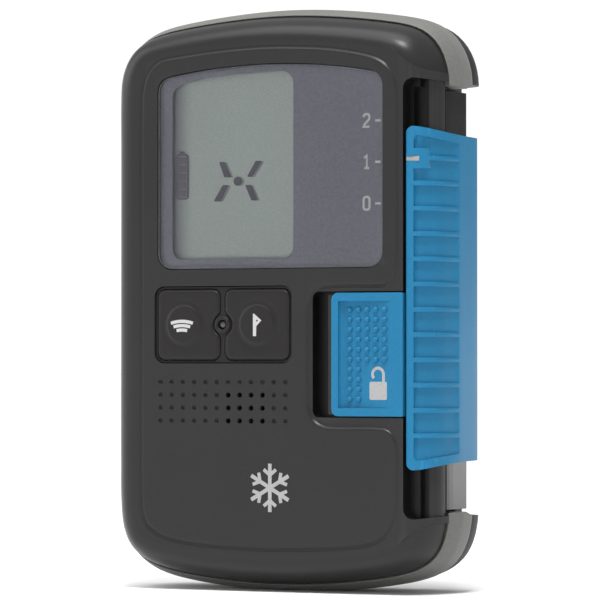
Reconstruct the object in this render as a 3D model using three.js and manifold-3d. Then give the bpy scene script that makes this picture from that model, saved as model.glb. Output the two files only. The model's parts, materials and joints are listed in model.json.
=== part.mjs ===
// Avalanche transceiver: hand-held 457 kHz beacon with a sliding function switch,
// a lock key, a two-key pad, a display and a hinged battery door at the back.
// Millimetres. +Z up, the face looks towards -Y, +X is to the right seen from the face.
// Depths ("d") are counted backwards from the plane of the face and turned into Y at the end.
import * as THREE from "three";
import { mergeVertices } from "three/addons/utils/BufferGeometryUtils.js";
import Module from "manifold-3d";

const wasm = await Module();
wasm.setup();

// ---------------------------------------------------------------- driving dimensions
const DEPTH = 27.5; // face plane to back plane
const HALF_W = 37.0; // half width at the parting line
const TOP_Z = 117.3; // parting line, highest point
const BOT_Z = 1.4; // parting line, lowest point
const PART_D = 8.0; // depth of the parting line between the shells
const BEVEL_SIDE = 6.2; // width of the bevel ring at the sides, top and bottom
const BEVEL_TOP = 5.2;
const BEVEL_BOTTOM = 5.6;
const BUMPER_PROUD = 1.4; // the bumper stands out this far all round
const BUMPER_D0 = 8.3;
const BUMPER_D1 = 17.2;
const BUMPER_END_TOP = 101.7; // where the bumper stops at the right-hand side
const BUMPER_END_BOTTOM = 16.5;
const CHANNEL_X = 30.8; // left wall of the slider channel
const CHANNEL_Z0 = 15.0;
const CHANNEL_Z1 = 103.8;
const SLIDER_Z0 = 25.1; // function slider at SEND
const SLIDER_Z1 = 93.8;
const SLIDER_TAPER = 1.6; // its ends come in by this much towards the back
const RIB_COUNT = 12;
const RIB_Z0 = 32.0;
const RIB_PITCH = 5.04;
const RIB_THICK = 1.0;
const WINDOW = { x0: -24.9, x1: 26.4, z0: 65.6, zs: 104.9, zt: 107.3 };
const LCD = { x0: -21.6, x1: 6.0, z0: 67.7, z1: 105.5 };
const PAD = { x0: -25.4, x1: 6.0, z0: 46.5, z1: 62.1, r: 2.0 };
const KEY_L = { x0: -24.5, x1: -10.7 };
const KEY_R = { x0: -9.1, x1: 5.2 };
const KEY_Z0 = 47.45;
const KEY_Z1 = 60.95;
const KEY_TRAVEL = 0.8;
const BOSS = { x: -9.9, z: 54.3, r: 1.9 };
const GRILLE = { x0: -24.1, z0: 34.7, nx: 12, nz: 4, pitch: 2.61, r: 0.62 };
const LOCK = { x0: 14.9, x1: 30.75, z0: 35.8, z1: 60.6, slot: 10.6, travel: 2.4 };
const CELL_R = 5.25; // AAA cell
const CELL_LEN = 44.5;
const CELL_PITCH = 11.1;
const CELL_D = 19.6;
const BAY = { x: 17.1, z0: 18.2, z1: 67.4, d0: 14.1 };
const DOOR = { x: 19.0, z0: 9.8, z1: 68.4, d0: 25.9 };
const HINGE = { z: 70.6, d: 25.4, r: 2.0 };
const DOOR_SCREW_Z = 13.7;
const SCREWS = [
  [-26.5, 104.5],
  [26.3, 105.6],
  [-26.5, 14.5],
  [26.3, 13.4],
];

// ---------------------------------------------------------------- solids
function solid(geometry) {
  const g = (geometry.index ? geometry.toNonIndexed() : geometry.clone());
  const clean = new THREE.BufferGeometry().setAttribute(
    "position",
    g.getAttribute("position"),
  );
  const merged = mergeVertices(clean, 1e-4);
  return new wasm.Manifold(
    new wasm.Mesh({
      numProp: 3,
      vertProperties: new Float32Array(merged.attributes.position.array),
      triVerts: new Uint32Array(merged.index.array),
    }),
  );
}

const box = (x0, x1, d0, d1, z0, z1) =>
  solid(
    new THREE.BoxGeometry(x1 - x0, d1 - d0, z1 - z0).translate(
      (x0 + x1) / 2,
      (d0 + d1) / 2,
      (z0 + z1) / 2,
    ),
  );

// Polygon in X-Z, extruded in depth.
function prismY(pts, d0, d1) {
  const shape = new THREE.Shape(pts.map((p) => new THREE.Vector2(p[0], p[1])));
  return solid(
    new THREE.ExtrudeGeometry(shape, { depth: d1 - d0, bevelEnabled: false })
      .rotateX(Math.PI / 2)
      .translate(0, d1, 0),
  );
}
// Polygon in X-depth, extruded in Z.
function prismZ(pts, z0, z1) {
  const shape = new THREE.Shape(pts.map((p) => new THREE.Vector2(p[0], p[1])));
  return solid(
    new THREE.ExtrudeGeometry(shape, {
      depth: z1 - z0,
      bevelEnabled: false,
    }).translate(0, 0, z0),
  );
}
// Polygon in depth-Z, extruded in X.
function prismX(pts, x0, x1) {
  const shape = new THREE.Shape(pts.map((p) => new THREE.Vector2(p[0], p[1])));
  const m = new THREE.Matrix4().set(0, 0, 1, x0, 1, 0, 0, 0, 0, 1, 0, 0, 0, 0, 0, 1);
  return solid(
    new THREE.ExtrudeGeometry(shape, {
      depth: x1 - x0,
      bevelEnabled: false,
    }).applyMatrix4(m),
  );
}
function cyl(axis, r, a, b, u, v, seg = 20, r2 = r) {
  const g = new THREE.CylinderGeometry(r2, r, b - a, seg);
  const m = (a + b) / 2;
  if (axis === "x") return solid(g.rotateZ(-Math.PI / 2).translate(m, u, v));
  if (axis === "z") return solid(g.rotateX(Math.PI / 2).translate(u, v, m));
  return solid(g.translate(u, m, v)); // axis y: u = X, v = Z
}
const tube = (axis, ro, ri, a, b, u, v, seg = 20) =>
  cyl(axis, ro, a, b, u, v, seg).subtract(
    cyl(axis, ri, a - 1, b + 1, u, v, seg),
  );

// Closed stack of outlines, each {d, ring: [[x, z], ...]} with the same count.
function loft(stack) {
  const n = stack[0].ring.length;
  const pos = [];
  const tri = [];
  for (const s of stack) for (const [x, z] of s.ring) pos.push(x, s.d, z);
  for (let k = 0; k + 1 < stack.length; k++)
    for (let i = 0; i < n; i++) {
      const j = (i + 1) % n;
      const a = k * n + i,
        b = k * n + j,
        c = (k + 1) * n + j,
        e = (k + 1) * n + i;
      tri.push(a, c, b, a, e, c);
    }
  for (const [k, flip] of [
    [0, false],
    [stack.length - 1, true],
  ]) {
    const contour = stack[k].ring.map((p) => new THREE.Vector2(p[0], p[1]));
    for (const f of THREE.ShapeUtils.triangulateShape(contour, [])) {
      const [a, b, c] = f.map((i) => k * n + i);
      const p = contour[f[0]],
        q = contour[f[1]],
        r = contour[f[2]];
      const ccw =
        (q.x - p.x) * (r.y - p.y) - (q.y - p.y) * (r.x - p.x) > 0;
      // seen from the face (-Y) a front cap runs counter-clockwise in X-Z
      if (ccw !== flip) tri.push(a, b, c);
      else tri.push(a, c, b);
    }
  }
  const g = new THREE.BufferGeometry();
  g.setAttribute("position", new THREE.Float32BufferAttribute(pos, 3));
  g.setIndex(tri);
  let s = solid(g);
  if (s.volume() < 0) {
    for (let i = 0; i < tri.length; i += 3)
      [tri[i + 1], tri[i + 2]] = [tri[i + 2], tri[i + 1]];
    g.setIndex(tri);
    s = solid(g);
  }
  return s;
}

// ---------------------------------------------------------------- outlines
// Half of the parting line, from the top centre down the right-hand side.
const HALF = [
  [0, 117.3], [6, 117.15], [12, 116.75], [18, 116.15], [23, 115.5],
  [27, 114.8], [29.8, 114.0], [32.0, 112.9], [33.8, 111.4], [35.2, 109.5],
  [36.2, 107.3], [36.8, 104.8], [37, 101.5], [37, 88], [37, 72], [37, 56],
  [37, 40], [37, 26], [36.95, 18.5], [36.6, 13.9], [35.95, 11.2],
  [34.8, 8.7], [33.0, 6.7], [30.2, 5.05], [26.6, 3.95], [22.5, 3.15],
  [17.5, 2.45], [12, 1.9], [6, 1.5], [0, 1.4],
];
const OUTLINE = [
  ...HALF,
  ...HALF.slice(1, -1)
    .reverse()
    .map(([x, z]) => [-x, z]),
].reverse(); // counter-clockwise seen from the face

function normals(ring) {
  const n = ring.length;
  return ring.map((_, i) => {
    const a = ring[(i + n - 1) % n],
      b = ring[(i + 1) % n];
    const tx = b[0] - a[0],
      tz = b[1] - a[1],
      l = Math.hypot(tx, tz);
    return [tz / l, -tx / l];
  });
}
const NORMALS = normals(OUTLINE);
// The outline moved inwards by w at the sides, a little less at the top and bottom.
function inset(w) {
  return OUTLINE.map(([x, z], i) => {
    const [nx, nz] = NORMALS[i];
    const k =
      w > 0
        ? nx * nx + nz * nz * ((nz > 0 ? BEVEL_TOP : BEVEL_BOTTOM) / BEVEL_SIDE)
        : 1;
    return [x - nx * w * k, z - nz * w * k];
  });
}
const ringSolid = (d0, d1, outer, inner) =>
  loft([
    { d: d0, ring: inset(outer) },
    { d: d1, ring: inset(outer) },
  ]).subtract(
    loft([
      { d: d0 - 1, ring: inset(inner) },
      { d: d1 + 1, ring: inset(inner) },
    ]),
  );

function roundPoly(pts, r, seg = 3) {
  const out = [];
  const n = pts.length;
  pts.forEach((p, i) => {
    const rr = Array.isArray(r) ? r[i] : r;
    if (!rr) return out.push(p);
    const a = pts[(i + n - 1) % n],
      b = pts[(i + 1) % n];
    const ua = [a[0] - p[0], a[1] - p[1]],
      ub = [b[0] - p[0], b[1] - p[1]];
    const la = Math.hypot(...ua),
      lb = Math.hypot(...ub);
    const dot = (ua[0] * ub[0] + ua[1] * ub[1]) / (la * lb);
    const ang = Math.acos(Math.max(-1, Math.min(1, dot)));
    const t = Math.min(rr / Math.tan(ang / 2), la * 0.49, lb * 0.49);
    const q0 = [p[0] + (ua[0] / la) * t, p[1] + (ua[1] / la) * t];
    const q1 = [p[0] + (ub[0] / lb) * t, p[1] + (ub[1] / lb) * t];
    for (let k = 0; k <= seg; k++) {
      const s = k / seg,
        m = 1 - s;
      out.push([
        m * m * q0[0] + 2 * m * s * p[0] + s * s * q1[0],
        m * m * q0[1] + 2 * m * s * p[1] + s * s * q1[1],
      ]);
    }
  });
  return out;
}
const rect = (x0, x1, z0, z1) => [
  [x0, z0],
  [x1, z0],
  [x1, z1],
  [x0, z1],
];
const rrect = (x0, x1, z0, z1, r, seg = 3) => roundPoly(rect(x0, x1, z0, z1), r, seg);

// Window outline: straight sides and bottom, arched top.
function windowOutline(w) {
  const { x0, x1, z0, zs, zt } = WINDOW;
  const a = x0 + w,
    b = x1 - w,
    top = [];
  const N = 8;
  for (let k = 0; k <= N; k++) {
    const u = (2 * k) / N - 1;
    top.push([b + (a - b) * (k / N), zs - w + (zt - zs) * (1 - u * u)]);
  }
  const pts = [[a, z0 + w], [b, z0 + w], ...top];
  const radii = pts.map((_, i) =>
    i < 2 || i === 2 || i === pts.length - 1 ? Math.max(3.2 - w, 0.8) : 0,
  );
  return roundPoly(pts, radii, 3);
}

// ---------------------------------------------------------------- front shell
const bevel = [0, 0.12, 0.26, 0.42, 0.6, 0.8, 1].map((t) => {
  const m = 1 - t;
  return {
    d: 2 * t * m * 0.4 + t * t * PART_D,
    ring: inset(m * m * BEVEL_SIDE + 2 * t * m * 1.6),
  };
});
let front = loft(bevel);
let cavity = loft([
  { d: 2.0, ring: inset(8.0) },
  { d: 3.0, ring: inset(5.6) },
  { d: 4.4, ring: inset(4.0) },
  { d: 5.8, ring: inset(3.4) },
  { d: 9.0, ring: inset(3.4) },
]);
// thick wall behind the slider channel and behind the lock key
cavity = cavity
  .subtract(
    prismZ(
      [[29.3, 1], [40, 1], [40, 10], [33.7, 10], [33.7, 8], [33.2, 5.8], [31.6, 4.6], [29.3, 4.6]],
      12.6,
      106.2,
    ),
  )
  .subtract(box(9.0, 31, 1, 4.5, 34.2, 62.2));
for (const [x, z] of SCREWS)
  cavity = cavity.subtract(cyl("y", 2.7, 1, 10, x, z, 16));
front = front.subtract(cavity);
// slider channel, open to the right
const channelCut = prismZ(
  [[CHANNEL_X, -1], [CHANNEL_X, 2.9], [32.95, 2.9], [32.95, 2.3], [34.15, 3.15], [35.1, 4.6], [35.72, 6.5], [36.0, 8.2], [42, 8.2], [42, -1]],
  CHANNEL_Z0,
  CHANNEL_Z1,
).intersect(
  prismY(
    roundPoly(
      [[CHANNEL_X, CHANNEL_Z0], [45, CHANNEL_Z0 + 1.9], [45, CHANNEL_Z1 - 1.9], [CHANNEL_X, CHANNEL_Z1]],
      [2.2, 0, 0, 2.2],
    ),
    -2,
    12,
  ),
);
front = front.subtract(channelCut);
// display pocket and opening
front = front
  .subtract(prismY(windowOutline(-0.2), -1, 1.5))
  .subtract(prismY(windowOutline(0.9), -1, 3));
// key pad opening, grille, lock key recess
front = front.subtract(
  prismY(rrect(PAD.x0 - 0.1, PAD.x1 + 0.1, PAD.z0 - 0.1, PAD.z1 + 0.1, PAD.r), -1, 3),
);
for (let j = 0; j < 3; j++)
  for (let i = 6; i < 10; i++)
    front = front.subtract(
      cyl("y", GRILLE.r, -1, 3, GRILLE.x0 + i * GRILLE.pitch, GRILLE.z0 + j * GRILLE.pitch, 8),
    );
front = front
  .subtract(
    prismY(
      roundPoly(
        [[LOCK.slot, LOCK.z0 - 0.3], [34, LOCK.z0 - 0.3], [34, LOCK.z1 + 0.3], [LOCK.slot, LOCK.z1 + 0.3]],
        [1.2, 0, 0, 1.2],
      ),
      -1,
      3.1,
    ).intersect(box(0, CHANNEL_X + 0.1, -2, 4, 20, 80)),
  )
  .subtract(box(14.0, 22.0, 2, 6, 45.0, 51.4)); // slot for the carrier's post
for (const [x, z] of SCREWS)
  front = front.subtract(cyl("y", 1.3, 3.6, 10, x, z, 12));

// ---------------------------------------------------------------- rear shell
let rear = loft([
  { d: 8.5, ring: inset(1.7) },
  { d: 17.45, ring: inset(1.7) },
])
  .add(
    loft([
      { d: 17.45, ring: inset(-1.1) },
      { d: 19.4, ring: inset(-1.1) },
      { d: 21.0, ring: inset(-0.6) },
      { d: 22.6, ring: inset(0.4) },
      { d: 24.2, ring: inset(1.9) },
      { d: 25.6, ring: inset(3.7) },
      { d: 26.8, ring: inset(5.8) },
      { d: DEPTH, ring: inset(8.2) },
    ]),
  );
// the right-hand side is drawn in behind the rail, where the slider's hook runs
rear = rear
  .subtract(
    prismZ(
      [[34.4, 17.2], [34.4, 20.6], [32.4, 24.6], [29.4, 27.6], [29.4, 29], [45, 29], [45, 17.2]],
      15.6,
      102.8,
    ),
  )
  .subtract(box(33.2, 45, 8, 17.5, 16.6, 101.6));
let hollow = loft([
  { d: 8.0, ring: inset(3.7) },
  { d: 19.4, ring: inset(3.7) },
  { d: 22.0, ring: inset(4.6) },
  { d: 24.2, ring: inset(6.6) },
  { d: 25.5, ring: inset(9.0) },
])
  .subtract(box(31.2, 45, 0, 30, 12.6, 105.8))
  .subtract(box(-BAY.x - 1.3, BAY.x + 1.3, BAY.d0 - 1.2, 30, 8, BAY.z1 + 6.0)) // battery tray
  .subtract(box(-9.6, 9.6, 20.6, 30, 89.5, 102.5)); // walls of the lanyard pocket
for (const [x, z] of SCREWS)
  hollow = hollow.subtract(cyl("y", 2.7, 7, 30, x, z, 16));
rear = rear.subtract(hollow);
// battery bay, door recess, hinge pocket, door lock
rear = rear
  .subtract(box(-BAY.x, BAY.x, BAY.d0, 30, BAY.z0, BAY.z1))
  .subtract(prismY(rrect(-DOOR.x - 0.3, DOOR.x + 0.3, DOOR.z0 - 0.3, HINGE.z + 2.9, 2.0), DOOR.d0 - 0.3, 30))
  .subtract(box(-12.3, 12.3, 22.9, 30, HINGE.z - 2.6, HINGE.z + 2.9))
  .subtract(cyl("x", 1.1, -15.6, 15.6, HINGE.d, HINGE.z, 12))
  .subtract(cyl("y", 3.0, 20.4, 30, 0, DOOR_SCREW_Z, 20))
  .add(
    cyl("x", 1.9, -15.8, -12.4, HINGE.d, HINGE.z, 16)
      .add(cyl("x", 1.9, 12.4, 15.8, HINGE.d, HINGE.z, 16))
      .add(box(-15.8, -12.4, 23.2, 25.4, HINGE.z - 1.6, HINGE.z + 1.8))
      .add(box(12.4, 15.8, 23.2, 25.4, HINGE.z - 1.6, HINGE.z + 1.8))
      .subtract(cyl("x", 1.1, -15.2, 15.2, HINGE.d, HINGE.z, 12)),
  );
// lanyard pocket with its cross bar
rear = rear
  .subtract(prismY(rrect(-7.5, 7.5, 91.5, 100.5, 1.5), 21.8, 30))
  .subtract(cyl("x", 1.5, -8.9, 8.9, 25.2, 96, 14));
for (const [x, z] of SCREWS)
  rear = rear
    .subtract(cyl("y", 1.3, 7, 30, x, z, 12))
    .subtract(cyl("y", 2.4, 22.6, 30, x, z, 16));

// ---------------------------------------------------------------- bumper frame
let bumper = loft([
  { d: BUMPER_D0, ring: inset(-0.7) },
  { d: BUMPER_D0 + 0.8, ring: inset(-1.2) },
  { d: BUMPER_D0 + 2.0, ring: inset(-BUMPER_PROUD) },
  { d: BUMPER_D1 - 1.4, ring: inset(-BUMPER_PROUD) },
  { d: BUMPER_D1, ring: inset(-1.0) },
]).subtract(
  loft([
    { d: 7, ring: inset(1.4) },
    { d: 19, ring: inset(1.4) },
  ]),
);
bumper = bumper.subtract(
  prismX(
    [[6, BUMPER_END_TOP + 0.7], [8.2, BUMPER_END_TOP + 0.6], [13.2, BUMPER_END_TOP], [17.4, BUMPER_END_TOP + 1.1], [19, BUMPER_END_TOP + 1.2],
     [19, BUMPER_END_BOTTOM - 1.1], [17.4, BUMPER_END_BOTTOM - 1.0], [13.2, BUMPER_END_BOTTOM + 0.1], [8.2, BUMPER_END_BOTTOM - 0.2], [6, BUMPER_END_BOTTOM - 0.3]],
    20,
    45,
  ),
);

// ---------------------------------------------------------------- slide rail and detent
const rail = prismZ(
  [[33.5, 8.5], [36.0, 8.5], [36.3, 9.6], [36.55, 11.2], [36.55, 17.15], [33.5, 17.15]],
  17.0,
  101.2,
).subtract(box(35.5, 40, 10.2, 14.6, 50.0, 69.0));

// ---------------------------------------------------------------- function slider
const SL_OUT = [
  [31.15, 0.45], [32.9, 0.45], [34.2, 0.95], [35.5, 2.1], [36.5, 3.9], [37.25, 6.1],
  [37.8, 8.6], [38.15, 11.2], [38.25, 14.5], [38.25, 19.0], [37.9, 19.6],
];
const SL_IN = [
  [34.8, 19.6], [34.8, 17.5], [36.9, 17.5], [36.9, 11.2], [36.6, 8.6], [36.1, 6.4],
  [35.4, 4.4], [34.4, 2.85], [33.3, 1.95], [32.65, 1.95], [32.65, 2.6], [31.15, 2.6],
];
let slider = prismZ([...SL_OUT, ...SL_IN], SLIDER_Z0, SLIDER_Z1)
  .intersect(
    prismX(
      [[0, SLIDER_Z0 - 0.05], [20, SLIDER_Z0 + SLIDER_TAPER], [20, SLIDER_Z1 - SLIDER_TAPER], [0, SLIDER_Z1 + 0.05]],
      25,
      45,
    ),
  )
  .intersect(
    prismY(
      roundPoly([[31.0, SLIDER_Z0], [45, SLIDER_Z0], [45, SLIDER_Z1], [31.0, SLIDER_Z1]], [2.2, 0, 0, 2.2]),
      -1,
      22,
    ),
  );
const POCKET = [
  [32.95, -1], [32.95, 1.1], [33.8, 1.45], [34.9, 2.5], [35.85, 4.2], [36.6, 6.3],
  [37.25, 8.7], [38.2, 11.6], [42, 11.6], [42, -1],
];
const ribEdges = [SLIDER_Z0 + 1.75];
for (let i = 0; i < RIB_COUNT; i++)
  ribEdges.push(RIB_Z0 + i * RIB_PITCH - RIB_THICK / 2, RIB_Z0 + i * RIB_PITCH + RIB_THICK / 2);
ribEdges.push(SLIDER_Z1 - 1.75);
for (let i = 0; i < ribEdges.length; i += 2)
  slider = slider.subtract(prismZ(POCKET, ribEdges[i], ribEdges[i + 1]));
// index block beside the top rib, with a slot for the inlaid mark
const INDEX_Z = 87.65;
slider = slider.add(
  prismZ([[32.8, 0.5], [32.9, 0.45], [34.2, 0.95], [35.5, 2.1], [35.3, 3.2], [34.4, 2.7], [33.3, 1.9], [32.8, 1.8]], INDEX_Z - 2.0, INDEX_Z + 2.1),
);
slider = slider
  .subtract(box(31.0, 34.35, -1, 0.95, INDEX_Z - 0.5, INDEX_Z + 0.5))
  .subtract(box(34.0, 36.8, 17.9, 19.2, 55.8, 62.4));
const mark = box(31.2, 34.1, 0.48, 0.7, INDEX_Z - 0.4, INDEX_Z + 0.4);
const magnet = box(35.1, 36.5, 18.1, 19.0, 56.1, 62.1);
const detent = prismX(
  [[10.6, 50.6], [14.2, 50.6], [14.2, 68.4], [10.6, 68.4]],
  35.75,
  36.05,
).add(cyl("z", 0.35, 58.6, 60.4, 36.1, 12.4, 8));

// ---------------------------------------------------------------- lock key
let lockKey = prismY(
  roundPoly(rect(LOCK.x0, LOCK.x1, LOCK.z0, LOCK.z1), [1.3, 0.3, 0.3, 1.3]),
  0.15,
  1.7,
).subtract(
  // finger pocket: steep wall at the left, ramping up to nothing at the right
  prismX([[-1, LOCK.z0 + 1.7], [3, LOCK.z0 + 1.7], [3, LOCK.z1 - 1.7], [-1, LOCK.z1 - 1.7]], 10, 40).intersect(
    prismZ([[LOCK.x0 + 1.5, -1], [LOCK.x0 + 1.5, 0.4], [LOCK.x0 + 2.2, 1.15], [LOCK.x1 - 2.6, 0.15], [LOCK.x1 - 2.0, -1]], 30, 70),
  ),
);
const lockCarrier = box(13.2, 30.4, 2.0, 2.8, LOCK.z0 + 0.2, LOCK.z1 - 0.2).add(
  box(18.2, 21.6, 2.7, 5.6, 46.4, 50.0),
);
const lockSpring = tube("x", 1.05, 0.7, 12.2, 14.9, 5.75, 48.2, 10);

// ---------------------------------------------------------------- key pad
const padPlate = prismY(rrect(PAD.x0 + 0.15, PAD.x1 - 0.15, PAD.z0 + 0.15, PAD.z1 - 0.15, PAD.r - 0.1), 0.2, 2.2)
  .add(prismY(rrect(PAD.x0 - 1.2, PAD.x1 + 1.2, PAD.z0 - 1.2, PAD.z1 + 1.2, PAD.r), 2.3 - 0.15, 2.9));
const keyShape = (k) => rrect(k.x0, k.x1, KEY_Z0, KEY_Z1, 1.4);
const keyHole = (k) => rrect(k.x0 - 0.22, k.x1 + 0.22, KEY_Z0 - 0.22, KEY_Z1 + 0.22, 1.5);
let mat = padPlate
  .subtract(prismY(keyHole(KEY_L), -1, 4))
  .subtract(prismY(keyHole(KEY_R), -1, 4))
  .add(cyl("y", BOSS.r, 0.2, 2.85, BOSS.x, BOSS.z, 16))
  .subtract(cyl("y", 1.0, -1, 4, BOSS.x, BOSS.z, 12));
const mkKey = (k, cx) =>
  prismY(keyShape(k), 0.15, 3.1)
    .subtract(cyl("y", BOSS.r + 0.25, -1, 4, BOSS.x, BOSS.z, 16))
    .subtract(
      solid(new THREE.SphereGeometry(14, 32, 16).scale(1, 1, 1).translate(cx, -13.35, 54.3)),
    )
    .add(cyl("y", 1.4, 3.0, 3.3, cx, 54.3, 12));
const scanKey = mkKey(KEY_L, -18.3);
const flagKey = mkKey(KEY_R, -1.9);
const lightPipe = cyl("y", 0.8, 0.25, 4.6, BOSS.x, BOSS.z, 12);
const led = box(BOSS.x - 0.8, BOSS.x + 0.8, 5.9, 6.7, BOSS.z - 0.5, BOSS.z + 0.5);
const switchAt = (x) =>
  box(x - 2.6, x + 2.6, 4.9, 6.7, 51.7, 56.9).add(cyl("y", 1.3, 4.3, 5.0, x, 54.3, 12));

// ---------------------------------------------------------------- display
const lens = prismY(windowOutline(0.1), 0.1, 1.3);
const mask = prismY(windowOutline(1.2), 1.6, 2.0).subtract(
  prismY(rrect(LCD.x0, LCD.x1, LCD.z0, LCD.z1 - 0.2, 1.6), 1, 3),
);
const lcd = box(-23.4, 9.0, 2.3, 4.1, 65.6, 106.6);
const backlight = box(-23.0, 8.6, 4.4, 6.4, 66.0, 106.2);

// ---------------------------------------------------------------- electronics
let board = prismY(
  roundPoly([[-29.5, 23], [-29.5, 96], [-18.5, 107.5], [20, 107.5], [28, 99], [28, 20], [19, 9.5], [-18, 9.5]], 2),
  7.0,
  8.1,
);
const chip = box(10, 20, 8.4, 9.6, 76, 86);
const radio = box(-22, -10, 8.4, 10.4, 84, 100);
const sensor = box(29.0, 30.8, 15.5, 17.4, 40.0, 78.0);
const speaker = cyl("y", 9.5, 3.2, 6.6, -9.5, 38.6 - 1.2, 24);
const membrane = cyl("y", 8.0, 2.3, 2.9, -5.6, 37.4, 20).intersect(box(-13, 4, 2, 3, 30, 45));
const longCore = cyl("z", 3.4, 24, 98, -25.8, 16.6, 16);
const longCoil = tube("z", 5.0, 3.7, 44, 78, -25.8, 16.6, 16);
const crossCore = cyl("x", 3.0, -17, 24, 16.4, 82.5, 16);
const crossCoil = tube("x", 4.4, 3.3, -8, 14, 16.4, 82.5, 16);
const depthCore = cyl("y", 3.0, 9.5, 19.5, 18, 97, 16);
const depthCoil = tube("y", 5.0, 3.3, 11, 18, 18, 97, 16);

// ---------------------------------------------------------------- battery door
let door = prismY(rrect(-DOOR.x, DOOR.x, DOOR.z0, DOOR.z1, 1.8), DOOR.d0, DEPTH)
  .add(cyl("x", HINGE.r, -12, 12, HINGE.d, HINGE.z, 16))
  .add(box(-12, 12, DOOR.d0, 27.3, DOOR.z1 - 0.5, HINGE.z))
  .subtract(cyl("x", 1.05, -14, 14, HINGE.d, HINGE.z, 16))
  .subtract(cyl("y", 2.1, 20, 30, 0, DOOR_SCREW_Z, 20))
  .subtract(cyl("y", 3.7, 26.5, 30, 0, DOOR_SCREW_Z, 24));
for (let i = 0; i < 5; i++)
  door = door.subtract(box(-6, 6, DEPTH - 0.4, 30, 58.4 + i * 1.8, 59.3 + i * 1.8)); // grip grooves
const hingePin = cyl("x", 0.8, -15, 15, HINGE.d, HINGE.z, 12);
const doorScrew = cyl("y", 3.4, 26.75, 27.45, 0, DOOR_SCREW_Z, 24)
  .add(cyl("y", 1.6, 21.4, 26.9, 0, DOOR_SCREW_Z, 16))
  .subtract(box(-2.7, 2.7, 27.05, 30, DOOR_SCREW_Z - 0.5, DOOR_SCREW_Z + 0.5));
const bush = tube("y", 2.8, 2.15, 20.8, 25.0, 0, DOOR_SCREW_Z, 20);
const seal = prismY(rrect(-18.7, 18.7, 16.7, 67.9, 1.6), 25.62, 25.86)
  .subtract(prismY(rrect(-17.5, 17.5, 17.9, 67.5 - 0.1, 1.0), 25, 27));

// ---------------------------------------------------------------- cells and contacts
const CELL_Z0 = 20.9;
const cellAt = (x, up) => {
  const z1 = CELL_Z0 + CELL_LEN;
  return up
    ? cyl("z", CELL_R, CELL_Z0, z1 - 0.9, x, CELL_D, 20).add(cyl("z", 1.9, z1 - 1, z1, x, CELL_D, 12))
    : cyl("z", CELL_R, CELL_Z0 + 0.9, z1, x, CELL_D, 20).add(cyl("z", 1.9, CELL_Z0, CELL_Z0 + 1, x, CELL_D, 12));
};
const plateTop = box(-16.2, 16.2, 15.8, 23.4, 65.75, 66.2);
const plateBottom = box(-16.2, 16.2, 15.8, 23.4, 18.5, 18.9);
const springAt = (x) => tube("z", 2.4, 1.7, 19.1, 20.6, x, CELL_D, 12);

// ---------------------------------------------------------------- small fasteners
const screwAt = ([x, z]) =>
  cyl("y", 1.95, 22.9, 24.4, x, z, 16)
    .add(cyl("y", 0.95, 4.6, 23.0, x, z, 10))
    .subtract(box(x - 1.3, x + 1.3, 23.8, 26, z - 0.3, z + 0.3))
    .subtract(box(x - 0.3, x + 0.3, 23.8, 26, z - 1.3, z + 1.3));
const lanyardBar = cyl("x", 1.2, -8.6, 8.6, 25.2, 96, 14);
const gasket = ringSolid(8.1, 8.4, 1.95, 3.3);

// ---------------------------------------------------------------- scene graph
const root = new THREE.Group();
const device = new THREE.Group();
device.position.y = -DEPTH / 2;
root.add(device);

function add(name, man, color, roughness, metalness = 0, extra = {}) {
  const m = man.getMesh();
  const n = m.numProp;
  const v = new Float32Array(m.numVert * 3);
  for (let i = 0; i < m.numVert; i++)
    v.set(m.vertProperties.subarray(i * n, i * n + 3), i * 3);
  const g = new THREE.BufferGeometry();
  g.setAttribute("position", new THREE.BufferAttribute(v, 3));
  g.setIndex(new THREE.BufferAttribute(new Uint32Array(m.triVerts), 1));
  g.computeVertexNormals();
  const mesh = new THREE.Mesh(
    g,
    new THREE.MeshStandardMaterial({ color, roughness, metalness, ...extra }),
  );
  mesh.name = name;
  device.add(mesh);
}

add("front_shell", front, 0x424244, 0.45);
add("rear_shell", rear, 0x3c3c3e, 0.6);
add("bumper_frame", bumper, 0x85857c, 0.7);
add("slide_rail", rail, 0x2a2a2b, 0.4);
add("housing_gasket", gasket, 0x141414, 0.9);
add("function_slider", slider, 0x3f93c8, 0.4);
add("slider_index_mark", mark, 0xf4f4f4, 0.5);
add("slider_magnet", magnet, 0xb8b8bc, 0.3, 1);
add("detent_spring", detent, 0xc0c0c0, 0.3, 1);
add("position_sensor", sensor, 0x1a1a1a, 0.6);
add("lock_key", lockKey, 0x3f93c8, 0.45);
add("lock_carrier", lockCarrier, 0x2b2b2c, 0.6);
add("lock_spring", lockSpring, 0xc0c0c0, 0.3, 1);
add("keypad_mat", mat, 0x3b3939, 0.85);
add("scan_key", scanKey, 0x3b3939, 0.85);
add("flag_key", flagKey, 0x3b3939, 0.85);
add("indicator_light_pipe", lightPipe, 0xd8d8d8, 0.2);
add("indicator_led", led, 0xe8e0b0, 0.3);
add("scan_switch", switchAt(-18.3), 0x9a9a9a, 0.4, 0.6);
add("flag_switch", switchAt(-1.9), 0x9a9a9a, 0.4, 0.6);
add("display_window", lens, 0x8e8e98, 0.05, 0, { transparent: true, opacity: 0.35 });
add("display_mask", mask, 0x6c6c76, 0.4);
add("lcd_glass", lcd, 0x8a948f, 0.3);
add("lcd_backlight", backlight, 0xe8e8e4, 0.5);
add("main_board", board, 0x1d5a34, 0.5);
add("processor_chip", chip, 0x18181a, 0.5);
add("radio_module", radio, 0xb0b0b4, 0.35, 0.9);
add("speaker", speaker, 0x202022, 0.5);
add("speaker_membrane", membrane, 0x151515, 0.9);
add("antenna_long_core", longCore, 0x2b2b2e, 0.7);
add("antenna_long_coil", longCoil, 0xb06a35, 0.4, 0.8);
add("antenna_cross_core", crossCore, 0x2b2b2e, 0.7);
add("antenna_cross_coil", crossCoil, 0xb06a35, 0.4, 0.8);
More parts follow.
